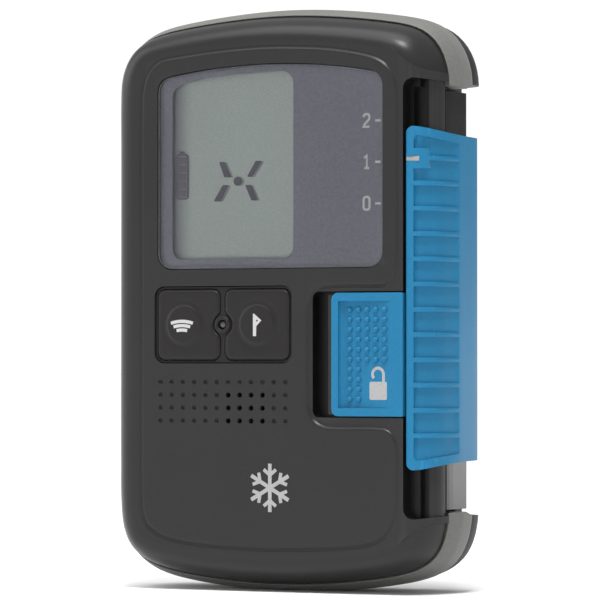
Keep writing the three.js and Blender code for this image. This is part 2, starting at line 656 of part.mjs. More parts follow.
add("antenna_depth_core", depthCore, 0x2b2b2e, 0.7);
add("antenna_depth_coil", depthCoil, 0xb06a35, 0.4, 0.8);
add("battery_door", door, 0x3c3c3e, 0.6);
add("door_seal", seal, 0x101010, 0.9);
add("door_hinge_pin", hingePin, 0xc4c4c4, 0.3, 1);
add("door_lock_screw", doorScrew, 0x6e6e70, 0.35, 1);
add("door_lock_bush", bush, 0xb89b52, 0.4, 1);
[-1, 0, 1].forEach((k, i) => {
  add("battery_" + (i + 1), cellAt(k * CELL_PITCH, k !== 0), 0x2d5d9a, 0.4, 0.3);
  add("contact_spring_" + (i + 1), springAt(k * CELL_PITCH), 0xd0d0d0, 0.25, 1);
});
add("contact_plate_top", plateTop, 0xd0d0d0, 0.25, 1);
add("contact_plate_bottom", plateBottom, 0xd0d0d0, 0.25, 1);
SCREWS.forEach((p, i) => add("housing_screw_" + (i + 1), screwAt(p), 0x8a8a8c, 0.35, 1));
add("lanyard_bar", lanyardBar, 0xb9b9bb, 0.3, 1);

export default root;
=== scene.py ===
import json
import math

import bmesh
import bpy
import numpy as np
from mathutils import Matrix, Vector


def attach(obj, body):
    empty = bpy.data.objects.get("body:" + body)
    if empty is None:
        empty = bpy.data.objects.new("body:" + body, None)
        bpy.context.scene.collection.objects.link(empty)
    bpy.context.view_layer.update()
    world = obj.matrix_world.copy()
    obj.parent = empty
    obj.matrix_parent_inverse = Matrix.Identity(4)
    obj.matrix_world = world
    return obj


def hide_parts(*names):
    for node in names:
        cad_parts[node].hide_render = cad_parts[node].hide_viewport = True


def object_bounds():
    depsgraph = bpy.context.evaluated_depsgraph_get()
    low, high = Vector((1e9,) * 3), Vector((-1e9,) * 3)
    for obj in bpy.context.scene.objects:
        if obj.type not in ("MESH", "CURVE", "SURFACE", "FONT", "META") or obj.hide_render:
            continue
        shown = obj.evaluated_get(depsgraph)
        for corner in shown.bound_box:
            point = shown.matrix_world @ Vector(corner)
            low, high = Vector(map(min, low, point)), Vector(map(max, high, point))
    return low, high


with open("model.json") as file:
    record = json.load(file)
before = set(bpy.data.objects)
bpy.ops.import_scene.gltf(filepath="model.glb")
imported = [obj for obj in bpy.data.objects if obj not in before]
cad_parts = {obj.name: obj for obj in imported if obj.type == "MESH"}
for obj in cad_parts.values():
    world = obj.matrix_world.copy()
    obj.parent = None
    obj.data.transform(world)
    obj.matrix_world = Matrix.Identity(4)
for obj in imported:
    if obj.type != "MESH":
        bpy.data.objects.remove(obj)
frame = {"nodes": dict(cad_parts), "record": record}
CAD_LO, CAD_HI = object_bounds()
CAD_LO, CAD_HI = list(CAD_LO), list(CAD_HI)
NODES = frame["nodes"]

# ------------------------------------------------------------------ measures (mm), as in the CAD
DEPTH = 27.5
DM = DEPTH / 2
PART_D = 8.0
BEVEL_SIDE, BEVEL_TOP, BEVEL_BOTTOM = 6.2, 5.2, 5.6
BUMPER_PROUD, BUMPER_D0, BUMPER_D1 = 1.4, 8.3, 17.2
RIM_D = 0.32
HALF = [
    [0, 117.3], [6, 117.15], [12, 116.75], [18, 116.15], [23, 115.5],
    [27, 114.8], [29.8, 114.0], [32.0, 112.9], [33.8, 111.4], [35.2, 109.5],
    [36.2, 107.3], [36.8, 104.8], [37, 101.5], [37, 88], [37, 72], [37, 56],
    [37, 40], [37, 26], [36.95, 18.5], [36.6, 13.9], [35.95, 11.2],
    [34.8, 8.7], [33.0, 6.7], [30.2, 5.05], [26.6, 3.95], [22.5, 3.15],
    [17.5, 2.45], [12, 1.9], [6, 1.5], [0, 1.4],
]


# ------------------------------------------------------------------ curves and outlines
def catmull(pts, n_per, closed=True):
    pts = np.array(pts, float)
    n = len(pts)
    out = []
    for i in range(n if closed else n - 1):
        p0, p1, p2, p3 = (pts[(i + k) % n] if closed else pts[min(max(i + k, 0), n - 1)] for k in (-1, 0, 1, 2))
        d1 = max(np.linalg.norm(p1 - p0), 1e-6) ** 0.5
        d2 = max(np.linalg.norm(p2 - p1), 1e-6) ** 0.5
        d3 = max(np.linalg.norm(p3 - p2), 1e-6) ** 0.5
        m1 = (p2 - p1) + d2 * ((p1 - p0) / d1 - (p2 - p0) / (d1 + d2))
        m2 = (p2 - p1) + d2 * ((p3 - p2) / d3 - (p3 - p1) / (d2 + d3))
        for k in range(n_per):
            t = k / n_per
            out.append((2 * t**3 - 3 * t**2 + 1) * p1 + (t**3 - 2 * t**2 + t) * m1
                       + (-2 * t**3 + 3 * t**2) * p2 + (t**3 - t**2) * m2)
    if not closed:
        out.append(pts[-1])
    return np.array(out)


def resample(pts, step, closed=True):
    p = np.array(pts, float)
    q = np.vstack([p, p[:1]]) if closed else p
    seg = np.hypot(*(q[1:] - q[:-1]).T)
    s = np.r_[0, np.cumsum(seg)]
    n = max(8, int(round(s[-1] / step)))
    u = np.linspace(0, s[-1], n + 1)[: -1 if closed else None]
    return np.c_[np.interp(u, s, q[:, 0]), np.interp(u, s, q[:, 1])]


def ring_normals(r):
    r = np.array(r, float)
    t = np.roll(r, -1, 0) - np.roll(r, 1, 0)
    t /= np.maximum(np.hypot(t[:, 0], t[:, 1]), 1e-9)[:, None]
    return np.c_[t[:, 1], -t[:, 0]]


def area(r):
    r = np.array(r, float)
    x, y = r[:, 0], r[:, 1]
    return 0.5 * np.sum(x * np.roll(y, -1) - y * np.roll(x, -1))


def ccw(r):
    r = np.array(r, float)
    return r if area(r) > 0 else r[::-1]


full = HALF + [[-x, z] for x, z in HALF[1:-1][::-1]]
OUT = resample(catmull(full, 8), 1.25)
OUT = ccw(OUT)
OUT_N = ring_normals(OUT)


def inset(w):
    nx, nz = OUT_N[:, 0], OUT_N[:, 1]
    k = nx**2 + nz**2 * np.where(nz > 0, BEVEL_TOP, BEVEL_BOTTOM) / BEVEL_SIDE if w > 0 else np.ones(len(OUT))
    return OUT - OUT_N * (w * k)[:, None]


def grow(r, w):
    """A dense outline moved outwards by w (inwards if negative)."""
    r = ccw(r)
    return r + ring_normals(r) * w


def rp(pts, r, seg=6):
    pts = [np.array(p, float) for p in pts]
    n = len(pts)
    out = []
    for i, p in enumerate(pts):
        rr = r[i] if hasattr(r, "__len__") else r
        if not rr:
            out.append(p)
            continue
        a, b = pts[i - 1], pts[(i + 1) % n]
        ua, ub = a - p, b - p
        la, lb = np.hypot(*ua), np.hypot(*ub)
        ua, ub = ua / la, ub / lb
        ang = math.acos(max(-1, min(1, float(ua @ ub))))
        t = min(rr / math.tan(ang / 2), la * 0.49, lb * 0.49)
        rad = t * math.tan(ang / 2)
        bis = (ua + ub) / np.hypot(*(ua + ub))
        c = p + bis * (rad / math.sin(ang / 2))
        q0, q1 = p + ua * t, p + ub * t
        a0 = math.atan2(*(q0 - c)[::-1])
        a1 = math.atan2(*(q1 - c)[::-1])
        da = (a1 - a0 + math.pi) % (2 * math.pi) - math.pi
        for k in range(seg + 1):
            th = a0 + da * k / seg
            out.append(c + rad * np.array([math.cos(th), math.sin(th)]))
    return np.array(out)


def rect(x0, x1, z0, z1):
    return [(x0, z0), (x1, z0), (x1, z1), (x0, z1)]


def circle(cx, cz, r, n=24):
    return np.array([(cx + r * math.cos(2 * math.pi * k / n), cz + r * math.sin(2 * math.pi * k / n)) for k in range(n)])


# ------------------------------------------------------------------ meshes. Points are (x, d, z) in mm.
def make(name, verts, faces, fix=True):
    me = bpy.data.meshes.new(name)
    v = np.array(verts, float)
    v = np.c_[v[:, 0], v[:, 1] - DM, v[:, 2]] * 0.001
    me.from_pydata(v.tolist(), [], faces)
    me.validate()
    o = bpy.data.objects.new(name, me)
    bpy.context.scene.collection.objects.link(o)
    if fix:
        bm = bmesh.new()
        bm.from_mesh(me)
        bmesh.ops.recalc_face_normals(bm, faces=bm.faces)
        bm.to_mesh(me)
        bm.free()
    return o


def loft(name, stack, cap0=True, cap1=True, closed_ring=False):
    """stack: list of (d, ring) or list of arrays (n, 3)."""
    rings = []
    for s in stack:
        if isinstance(s, tuple):
            d, r = s
            rings.append(np.c_[r[:, 0], np.full(len(r), d), r[:, 1]])
        else:
            rings.append(np.array(s, float))
    n, m = len(rings[0]), len(rings)
    v = np.vstack(rings)
    f = []
    for k in range(m if closed_ring else m - 1):
        k2 = (k + 1) % m
        for i in range(n):
            j = (i + 1) % n
            f.append((k * n + i, k * n + j, k2 * n + j, k2 * n + i))
    if not closed_ring:
        if cap0:
            f.append(tuple(range(n))[::-1])
        if cap1:
            f.append(tuple((m - 1) * n + i for i in range(n)))
    return make(name, v, f)


def prism_y(name, pts, d0, d1):
    p = np.array(pts, float)
    return loft(name, [(d0, p), (d1, p)])


def prism_z(name, pts, z0, z1, steps=1):
    p = np.array(pts, float)
    return loft(name, [np.c_[p[:, 0], p[:, 1], np.full(len(p), z)] for z in np.linspace(z0, z1, steps + 1)])


def prism_x(name, pts, x0, x1):
    p = np.array(pts, float)
    return loft(name, [np.c_[np.full(len(p), x), p[:, 0], p[:, 1]] for x in (x0, x1)])


def box(name, x0, x1, d0, d1, z0, z1):
    return prism_y(name, rect(x0, x1, z0, z1), d0, d1)


def tube_y(name, cx, cz, r, d0, d1, n=32):
    return prism_y(name, circle(cx, cz, r, n), d0, d1)


def revolve(name, prof, axis, origin, n=48):
    """prof: (radius, along) pairs closed on the axis; axis 'x', 'y' or 'z'; origin (x, d, z)."""
    v, f = [], []
    rings = []
    for r, a in prof:
        if r < 1e-6:
            rings.append([len(v)])
            v.append((0, 0, a))
        else:
            rings.append(list(range(len(v), len(v) + n)))
            for k in range(n):
                t = 2 * math.pi * k / n
                v.append((r * math.cos(t), r * math.sin(t), a))
    for p, q in zip(rings[:-1], rings[1:]):
        for k in range(n):
            k2 = (k + 1) % n
            if len(p) == 1 and len(q) == 1:
                continue
            if len(p) == 1:
                f.append((p[0], q[k], q[k2]))
            elif len(q) == 1:
                f.append((p[k], p[k2], q[0]))
            else:
                f.append((p[k], p[k2], q[k2], q[k]))
    v = np.array(v, float)
    if axis == "y":
        v = np.c_[v[:, 0], v[:, 2], v[:, 1]]
    elif axis == "x":
        v = np.c_[v[:, 2], v[:, 0], v[:, 1]]
    return make(name, v + np.array(origin, float), f)


def apply_mods(o):
    dg = bpy.context.evaluated_depsgraph_get()
    me = bpy.data.meshes.new_from_object(o.evaluated_get(dg))
    old = o.data
    o.modifiers.clear()
    o.data = me
    bpy.data.meshes.remove(old)
    return o


def drop(o):
    me = o.data
    bpy.data.objects.remove(o)
    if me and me.users == 0:
        bpy.data.meshes.remove(me)


def boolean(o, cutters, op="DIFFERENCE"):
    for c in cutters if isinstance(cutters, (list, tuple)) else [cutters]:
        m = o.modifiers.new("b", "BOOLEAN")
        m.operation, m.object, m.solver = op, c, "EXACT"
        bpy.context.view_layer.update()
        apply_mods(o)
        drop(c)
    return o


def join(name, objs):
    """One object made of several meshes that stay apart."""
    bm = bmesh.new()
    for o in objs:
        bm.from_mesh(o.data)
    me = bpy.data.meshes.new(name)
    bm.to_mesh(me)
    bm.free()
    for o in objs:
        drop(o)
    o = bpy.data.objects.new(name, me)
    bpy.context.scene.collection.objects.link(o)
    return o


def clean(o, dist=2e-6):
    bm = bmesh.new()
    bm.from_mesh(o.data)
    bmesh.ops.remove_doubles(bm, verts=bm.verts, dist=dist)
    bmesh.ops.dissolve_degenerate(bm, edges=bm.edges, dist=dist)
    bm.to_mesh(o.data)
    bm.free()
    return o


def finish_mesh(o, bevel=0.0, segments=2, angle=32, smooth=35, weighted=True):
    """Rounded edges and clean shading."""
    clean(o)
    for p in o.data.polygons:
        p.use_smooth = True
    if bevel:
        m = o.modifiers.new("edge", "BEVEL")
        m.width = bevel * 0.001
        m.segments = segments
        m.limit_method = "ANGLE"
        m.angle_limit = math.radians(angle)
        m.use_clamp_overlap = True
        m.harden_normals = False
        m.miter_outer = "MITER_ARC"
    else:
        o.data.set_sharp_from_angle(angle=math.radians(smooth))
    if weighted:
        w = o.modifiers.new("normals", "WEIGHTED_NORMAL")
        w.keep_sharp = not bevel
        w.weight = 50
    return o


def piece(o, body, material, replaces=()):
    o.data.materials.clear()
    o.data.materials.append(material)
    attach(o, body)
    if replaces:
        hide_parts(*replaces)
    return o


# ------------------------------------------------------------------ materials
def srgb(r, g=None, b=None):
    if g is None:
        g = b = r
    return [((c / 255) / 12.92 if c / 255 <= 0.04045 else ((c / 255 + 0.055) / 1.055) ** 2.4) for c in (r, g, b)] + [1]


def mix_col(c, k):
    return [min(1, x * k) for x in c[:3]] + [1]


def plastic(name, color, rough=0.45, var=0.12, rough_var=0.08, grain=0.35, bump=0.06, spec=0.5,
            dust=0.0, scratch=0.0, metallic=0.0, coat=0.0, sheen=0.0, mottling=55.0):
    """Moulded plastic, rubber or metal: eroded grain, slow colour drift, uneven gloss, faint scuffs. grain is in mm."""
    m = bpy.data.materials.new(name)
    m.use_nodes = True
    nt = m.node_tree
    b = nt.nodes["Principled BSDF"]
    b.inputs["Metallic"].default_value = metallic
    b.inputs["Specular IOR Level"].default_value = spec
    if coat:
        b.inputs["Coat Weight"].default_value = coat
        b.inputs["Coat Roughness"].default_value = 0.12
    if sheen:
        b.inputs["Sheen Weight"].default_value = sheen
        b.inputs["Sheen Roughness"].default_value = 0.5
    tc = nt.nodes.new("ShaderNodeTexCoord")

    def noise(scale, detail=3, rough_=0.55):
        n = nt.nodes.new("ShaderNodeTexNoise")
        n.inputs["Scale"].default_value = scale
        n.inputs["Detail"].default_value = detail
        n.inputs["Roughness"].default_value = rough_
        nt.links.new(tc.outputs["Object"], n.inputs["Vector"])
        return n

    slow, fine = noise(mottling, 4), noise(1000 / max(grain, 0.05), 2, 0.6)
    ramp = nt.nodes.new("ShaderNodeValToRGB")
    ramp.color_ramp.elements[0].position, ramp.color_ramp.elements[1].position = 0.3, 0.72
    ramp.color_ramp.elements[0].color = mix_col(color, 1 - var)
    ramp.color_ramp.elements[1].color = mix_col(color, 1 + var)
    nt.links.new(slow.outputs["Fac"], ramp.inputs["Fac"])
    speck = nt.nodes.new("ShaderNodeValToRGB")
    speck.color_ramp.elements[0].position, speck.color_ramp.elements[1].position = 0.25, 0.75
    speck.color_ramp.elements[0].color = (0.86, 0.86, 0.86, 1)
    speck.color_ramp.elements[1].color = (1.12, 1.12, 1.12, 1)
    nt.links.new(fine.outputs["Fac"], speck.inputs["Fac"])
    mul = nt.nodes.new("ShaderNodeMix")
    mul.data_type, mul.blend_type = "RGBA", "MULTIPLY"
    mul.inputs["Factor"].default_value = 1
    nt.links.new(ramp.outputs["Color"], mul.inputs["A"])
    nt.links.new(speck.outputs["Color"], mul.inputs["B"])
    col = mul.outputs["Result"]
    if dust:
        geo = nt.nodes.new("ShaderNodeNewGeometry")
        edge = nt.nodes.new("ShaderNodeMapRange")
        edge.inputs["From Min"].default_value, edge.inputs["From Max"].default_value = 0.53, 0.62
        nt.links.new(geo.outputs["Pointiness"], edge.inputs["Value"])
        worn = noise(900, 4, 0.7)
        wm = nt.nodes.new("ShaderNodeMath")
        wm.operation = "MULTIPLY"
        nt.links.new(edge.outputs["Result"], wm.inputs[0])
        nt.links.new(worn.outputs["Fac"], wm.inputs[1])
        sc = nt.nodes.new("ShaderNodeMath")
        sc.operation = "MULTIPLY"
        sc.inputs[1].default_value = dust
        nt.links.new(wm.outputs[0], sc.inputs[0])
        wear = nt.nodes.new("ShaderNodeMix")
        wear.data_type = "RGBA"
        nt.links.new(sc.outputs[0], wear.inputs["Factor"])
        nt.links.new(col, wear.inputs["A"])
        wear.inputs["B"].default_value = mix_col(color, 2.2)
        col = wear.outputs["Result"]
    nt.links.new(col, b.inputs["Base Color"])
    rr = nt.nodes.new("ShaderNodeMapRange")
    rr.inputs["To Min"].default_value = max(0.02, rough - rough_var)
    rr.inputs["To Max"].default_value = min(1, rough + rough_var)
    gloss = noise(mottling * 4, 5, 0.6)
    nt.links.new(gloss.outputs["Fac"], rr.inputs["Value"])
    nt.links.new(rr.outputs["Result"], b.inputs["Roughness"])
    bp = nt.nodes.new("ShaderNodeBump")
    bp.inputs["Strength"].default_value = bump
    bp.inputs["Distance"].default_value = 0.0001
    height = fine.outputs["Fac"]
    if scratch:
        mp = nt.nodes.new("ShaderNodeMapping")
        mp.inputs["Scale"].default_value = (1, 1, 0.04)
        mp.inputs["Rotation"].default_value = (0.3, 0.5, 0.2)
        nt.links.new(tc.outputs["Object"], mp.inputs["Vector"])
        s = nt.nodes.new("ShaderNodeTexNoise")
        s.inputs["Scale"].default_value = 3200
        s.inputs["Detail"].default_value = 2
        nt.links.new(mp.outputs["Vector"], s.inputs["Vector"])
        ad = nt.nodes.new("ShaderNodeMath")
        ad.operation = "MULTIPLY_ADD"
        ad.inputs[1].default_value = scratch
        nt.links.new(s.outputs["Fac"], ad.inputs[0])
        nt.links.new(fine.outputs["Fac"], ad.inputs[2])
        height = ad.outputs[0]
    nt.links.new(height, bp.inputs["Height"])
    nt.links.new(bp.outputs["Normal"], b.inputs["Normal"])
    return m


M_FASCIA = plastic("fascia_plastic", srgb(42, 42, 42), 0.30, 0.05, 0.05, 0.22, 0.10, 0.19, dust=0.35)
M_CASE = plastic("case_plastic", srgb(46, 46, 47), 0.50, 0.06, 0.07, 0.30, 0.30, 0.25, dust=0.4)
M_BUMPER = plastic("bumper_elastomer", srgb(99, 99, 96), 0.55, 0.05, 0.08, 0.40, 0.16, 0.3, dust=0.25, sheen=0.1)
M_BLUE = plastic("slider_blue", srgb(31, 110, 150), 0.30, 0.04, 0.05, 0.24, 0.07, 0.17, dust=0.3)
M_RAIL = plastic("rail_black", srgb(22, 22, 23), 0.16, 0.06, 0.05, 0.35, 0.04, 0.5, scratch=0.5)
M_RUBBER = plastic("key_rubber", srgb(30, 28, 28), 0.42, 0.05, 0.06, 0.26, 0.10, 0.22, sheen=0.05)
M_SEAL = plastic("seal_rubber", srgb(22, 22, 22), 0.7, 0.05, 0.1, 0.4, 0.1, 0.3)
M_WHITE = plastic("print_white", srgb(214, 214, 214), 0.45, 0.03, 0.05, 0.25, 0.03, 0.3)
M_GREYPRINT = plastic("print_grey", srgb(182, 182, 182), 0.45, 0.03, 0.05, 0.25, 0.03, 0.3)
M_DULLPRINT = plastic("print_dull", srgb(160, 160, 161), 0.5, 0.03, 0.05, 0.25, 0.03, 0.2)
M_INDEX = plastic("print_index", srgb(148, 149, 148), 0.5, 0.03, 0.05, 0.25, 0.03, 0.2)
M_MASK = plastic("mask_grey", srgb(128, 128, 140), 0.5, 0.03, 0.05, 0.6, 0.02, 0.3)
M_LCD = plastic("lcd_grey", srgb(181, 191, 184), 0.55, 0.02, 0.05, 0.35, 0.02, 0.3, mottling=40)
M_SEG_DIM = plastic("lcd_segment_dim", srgb(112, 108, 118), 0.5, 0.03, 0.05, 0.3, 0.02, 0.3)
M_SEG = plastic("lcd_segment", srgb(88, 84, 97), 0.5, 0.03, 0.05, 0.3, 0.02, 0.3)
M_SEG_SOFT = plastic("lcd_segment_shadow", srgb(140, 145, 146), 0.5, 0.03, 0.05, 0.3, 0.02, 0.3)
M_STEEL = plastic("steel", srgb(165, 166, 168), 0.30, 0.06, 0.12, 0.25, 0.08, 0.5, metallic=1, scratch=1.2)
M_NICKEL = plastic("nickel", srgb(205, 203, 198), 0.22, 0.04, 0.08, 0.3, 0.05, 0.5, metallic=1)
M_BRASS = plastic("brass", srgb(190, 158, 92), 0.3, 0.06, 0.1, 0.3, 0.06, 0.5, metallic=1, scratch=0.8)
M_FERRITE = plastic("ferrite", srgb(52, 52, 56), 0.7, 0.08, 0.1, 0.5, 0.4, 0.4)
M_COPPER = plastic("copper_wire", srgb(178, 92, 48), 0.32, 0.1, 0.1, 0.2, 0.3, 0.5, metallic=0.9)
M_BOARD = plastic("board_green", srgb(28, 92, 54), 0.35, 0.1, 0.1, 0.8, 0.15, 0.5)
M_CHIP = plastic("chip_black", srgb(34, 34, 36), 0.55, 0.06, 0.1, 0.3, 0.15, 0.4)
M_CELL = plastic("cell_jacket", srgb(44, 88, 150), 0.35, 0.05, 0.08, 0.5, 0.05, 0.5)
M_DIFF = plastic("diffuser_white", srgb(225, 225, 222), 0.5, 0.02, 0.05, 0.4, 0.04, 0.4)

M_PIPE = plastic("light_pipe_smoke", srgb(74, 72, 72), 0.18, 0.04, 0.05, 0.3, 0.03, 0.5)
# near-black used as painted shade in the slider channel and behind the lock key
M_RECESS_SHADE = plastic("recess_painted_shade", srgb(14, 13, 13), 0.35, 0.08, 0.08, 0.4, 0.05, 0.22)
# pale grey used as painted highlight along the lens edge
M_LENS_EDGE_HIGHLIGHT = plastic("lens_rim_painted_highlight", srgb(142, 143, 149), 0.12, 0.05, 0.05, 0.4, 0.02, 0.6)

CAD_MATS = {
    "fascia_plastic": M_FASCIA, "case_plastic": M_CASE, "bumper_elastomer": M_BUMPER, "slider_blue": M_BLUE,
    "mark_white": M_WHITE, "rail_black": M_RAIL, "key_rubber": M_RUBBER, "seal_rubber": M_SEAL, "mask_grey": M_MASK,
    "lcd_grey": M_LCD, "diffuser_white": M_DIFF, "board_green": M_BOARD, "chip_black": M_CHIP, "steel": M_STEEL,
    "nickel": M_NICKEL, "brass": M_BRASS, "ferrite": M_FERRITE, "copper_wire": M_COPPER, "cell_jacket": M_CELL,
}


def clear_window():
    m = bpy.data.materials.new("window_clear")
    m.use_nodes = True
    nt = m.node_tree
    nt.nodes.remove(nt.nodes["Principled BSDF"])
    out = nt.nodes["Material Output"]
    tr = nt.nodes.new("ShaderNodeBsdfTransparent")
    tr.inputs["Color"].default_value = (0.93, 0.93, 0.945, 1)
    gl = nt.nodes.new("ShaderNodeBsdfGlossy")
    gl.inputs["Color"].default_value = (1, 1, 1, 1)
    tc = nt.nodes.new("ShaderNodeTexCoord")
    n = nt.nodes.new("ShaderNodeTexNoise")
    n.inputs["Scale"].default_value = 160
    n.inputs["Detail"].default_value = 5
    nt.links.new(tc.outputs["Object"], n.inputs["Vector"])
    rr = nt.nodes.new("ShaderNodeMapRange")
    rr.inputs["To Min"].default_value, rr.inputs["To Max"].default_value = 0.03, 0.09
    nt.links.new(n.outputs["Fac"], rr.inputs["Value"])
    nt.links.new(rr.outputs["Result"], gl.inputs["Roughness"])
    fr = nt.nodes.new("ShaderNodeFresnel")
    fr.inputs["IOR"].default_value = 1.46
    mx = nt.nodes.new("ShaderNodeMixShader")
    nt.links.new(fr.outputs["Fac"], mx.inputs["Fac"])
    nt.links.new(tr.outputs["BSDF"], mx.inputs[1])
    nt.links.new(gl.outputs["BSDF"], mx.inputs[2])
    nt.links.new(mx.outputs["Shader"], out.inputs["Surface"])
    return m


M_CLEAR = clear_window()
CAD_MATS["window_clear"] = M_CLEAR
# the back and the rim of the window pass light on without a second reflection
M_CLEAR_BACK = bpy.data.materials.new("window_back")
M_CLEAR_BACK.use_nodes = True
M_CLEAR_BACK.node_tree.nodes.remove(M_CLEAR_BACK.node_tree.nodes["Principled BSDF"])
wb_ = M_CLEAR_BACK.node_tree.nodes.new("ShaderNodeBsdfTransparent")
wb_.inputs["Color"].default_value = (0.98, 0.98, 0.98, 1)
M_CLEAR_BACK.node_tree.links.new(wb_.outputs["BSDF"], M_CLEAR_BACK.node_tree.nodes["Material Output"].inputs["Surface"])


def painted_edge_shade(m, x0, x1, low):
    """The panel is painted darker towards its left edge: painted shade from the mask's edge over the recessed panel."""
    nt = m.node_tree
    b = nt.nodes["Principled BSDF"]
    src = b.inputs["Base Color"].links[0].from_socket
    tc = nt.nodes.new("ShaderNodeTexCoord")
    sx = nt.nodes.new("ShaderNodeSeparateXYZ")
    mr = nt.nodes.new("ShaderNodeMapRange")
    mr.interpolation_type = "SMOOTHSTEP"
    mr.inputs["From Min"].default_value, mr.inputs["From Max"].default_value = x0 * 0.001, x1 * 0.001
    nt.links.new(tc.outputs["Object"], sx.inputs["Vector"])
    nt.links.new(sx.outputs["X"], mr.inputs["Value"])
    mx = nt.nodes.new("ShaderNodeMix")
    mx.data_type, mx.blend_type = "RGBA", "MIX"
    mx.inputs["A"].default_value = low
    nt.links.new(mr.outputs["Result"], mx.inputs["Factor"])
    nt.links.new(src, mx.inputs["B"])
    nt.links.new(mx.outputs["Result"], b.inputs["Base Color"])


def cell_band(m, z0, z1, z2, white, metal):
    """A pale line and a light end band on the cell jackets."""
    nt = m.node_tree
    b = nt.nodes["Principled BSDF"]
    src = b.inputs["Base Color"].links[0].from_socket
    tc = nt.nodes.new("ShaderNodeTexCoord")
    sx = nt.nodes.new("ShaderNodeSeparateXYZ")
    nt.links.new(tc.outputs["Object"], sx.inputs["Vector"])
    for z, col in ((z0, white), (z1, srgb(30, 60, 110)), (z2, metal)):
        st = nt.nodes.new("ShaderNodeMapRange")
        st.inputs["From Min"].default_value, st.inputs["From Max"].default_value = z * 0.001, z * 0.001 + 0.0001
        nt.links.new(sx.outputs["Z"], st.inputs["Value"])
        mx = nt.nodes.new("ShaderNodeMix")
        mx.data_type, mx.blend_type = "RGBA", "MIX"
        nt.links.new(st.outputs["Result"], mx.inputs["Factor"])
        nt.links.new(src, mx.inputs["A"])
        mx.inputs["B"].default_value = col
        src = mx.outputs["Result"]
    nt.links.new(src, b.inputs["Base Color"])


cell_band(M_CELL, 50.0, 51.2, 54.5, srgb(200, 204, 210), srgb(150, 154, 160))
# painted shade: the LCD panel's colour turns darker towards its left edge
painted_edge_shade(M_LCD, -22.4, -17.6, srgb(134, 138, 142))

# ------------------------------------------------------------------ fascia
C_FLAT = np.array([
    (-28.2, 60), (-28.2, 98.5), (-28.0, 102.5), (-27.2, 105.2), (-25.9, 107.1), (-24.0, 108.3), (-19.6, 108.95), (-14.9, 109.45), (-10.3, 109.85),
    (-5.7, 110.1), (-1, 110.25), (3.4, 110.2), (7.9, 110.0), (12.4, 109.7), (16.9, 109.15), (21.4, 108.3), (24.7, 107.3),
    (26.9, 105.9), (28.4, 103.9), (29.1, 101.0), (29.1, 90), (29.1, 66.2), (28.6, 64.0), (26.8, 62.7), (24, 62.5), (15.5, 62.5), (12.6, 62.2),
    (10.3, 60.8), (9.2, 58.2), (9.1, 55), (9.1, 41), (9.3, 37.6), (10.6, 34.8), (13.2, 33.4), (16.0, 33.2), (24.5, 33.2), (27.2, 32.8), (28.7, 31.2), (29.1, 28.6),
    (29.1, 20), (28.7, 16.2), (27.4, 13.3), (25.0, 11.4), (21.5, 10.4), (15, 9.75), (8, 9.4), (0, 9.25), (-9.3, 9.5), (-15.9, 10.0), (-21.5, 10.8),
    (-24.8, 11.9), (-27.0, 13.6), (-28.0, 16.2), (-28.2, 20),
])
PANEL = ccw(resample(catmull(C_FLAT, 6), 0.8))


def window_outline(w, r=3.3):
    x0, x1, z0, zs, zt = -24.9 + w, 26.4 - w, 65.6 + w, 104.9 - w, 107.3 - w
    top = [(x1 + (x0 - x1) * u, zs + (zt - zs) * (1 - (2 * u - 1) ** 2)) for u in [0] + list(np.linspace(0.15, 0.85, 23)) + [1]]
    pts = [(x0, z0), (x1, z0)] + top
    rad = [max(r - w, 0.8)] * 2 + [max(r - w, 0.8)] + [0] * 23 + [max(r - w, 0.8)]
    p = rp(pts, rad, 10)
    return ccw(p)


def bevel_xd(t, d0=0.0, push=0.0):
    """Section of the bevel ring at the side: (x, d), moved out along its normal by push."""
    def at(t):
        m = 1 - t
        return np.array([37.0 - (m * m * BEVEL_SIDE + 2 * t * m * 1.6), d0 + (2 * t * m * 0.35 + t * t * (PART_D - d0))])
    p = at(t)
    q = at(min(1, t + 1e-3)) - at(max(0, t - 1e-3))
    n = np.array([q[1], -q[0]]) / np.hypot(*q)
    return p + n * push


def bevel_stack(d0, n=26):
    st = []
    for t in np.linspace(0, 0.965, n):
        m = 1 - t
        st.append((d0 + (2 * t * m * 0.35 + t * t * (PART_D - d0)), inset(m * m * BEVEL_SIDE + 2 * t * m * 1.6 + 0.1)))
    d = st[-1][0]
    return [(d0, inset(BEVEL_SIDE + 1.0)), (d0, inset(BEVEL_SIDE + 0.5))] + st + [(d + 0.2, inset(0.13)), (d + 0.36, inset(0.22)), (8.0, inset(0.4))]


front = loft("fascia", bevel_stack(RIM_D))
# soft valley round the raised panel
valley = loft("valley", [(-1.0, grow(PANEL, 1.15)), (RIM_D - 0.02, grow(PANEL, 1.12)), (RIM_D + 0.07, grow(PANEL, 0.98)), (RIM_D + 0.15, grow(PANEL, 0.8))])
boolean(valley, loft("valley_in", [(-2.0, grow(PANEL, 0.3)), (RIM_D + 0.3, grow(PANEL, 0.3))]))
boolean(front, valley)
# raised panel with soft flanks
panel = loft("panel", [(1.4, grow(PANEL, 0.62)), (0.62, grow(PANEL, 0.6)), (0.5, grow(PANEL, 0.5)), (0.36, grow(PANEL, 0.36)), (0.2, grow(PANEL, 0.22)), (0.09, grow(PANEL, 0.08)),
                       (0.03, grow(PANEL, -0.06)), (0.0, grow(PANEL, -0.24)), (0.0, grow(PANEL, -0.6)), (0.0, grow(PANEL, -1.0))])
boolean(front, panel, "UNION")
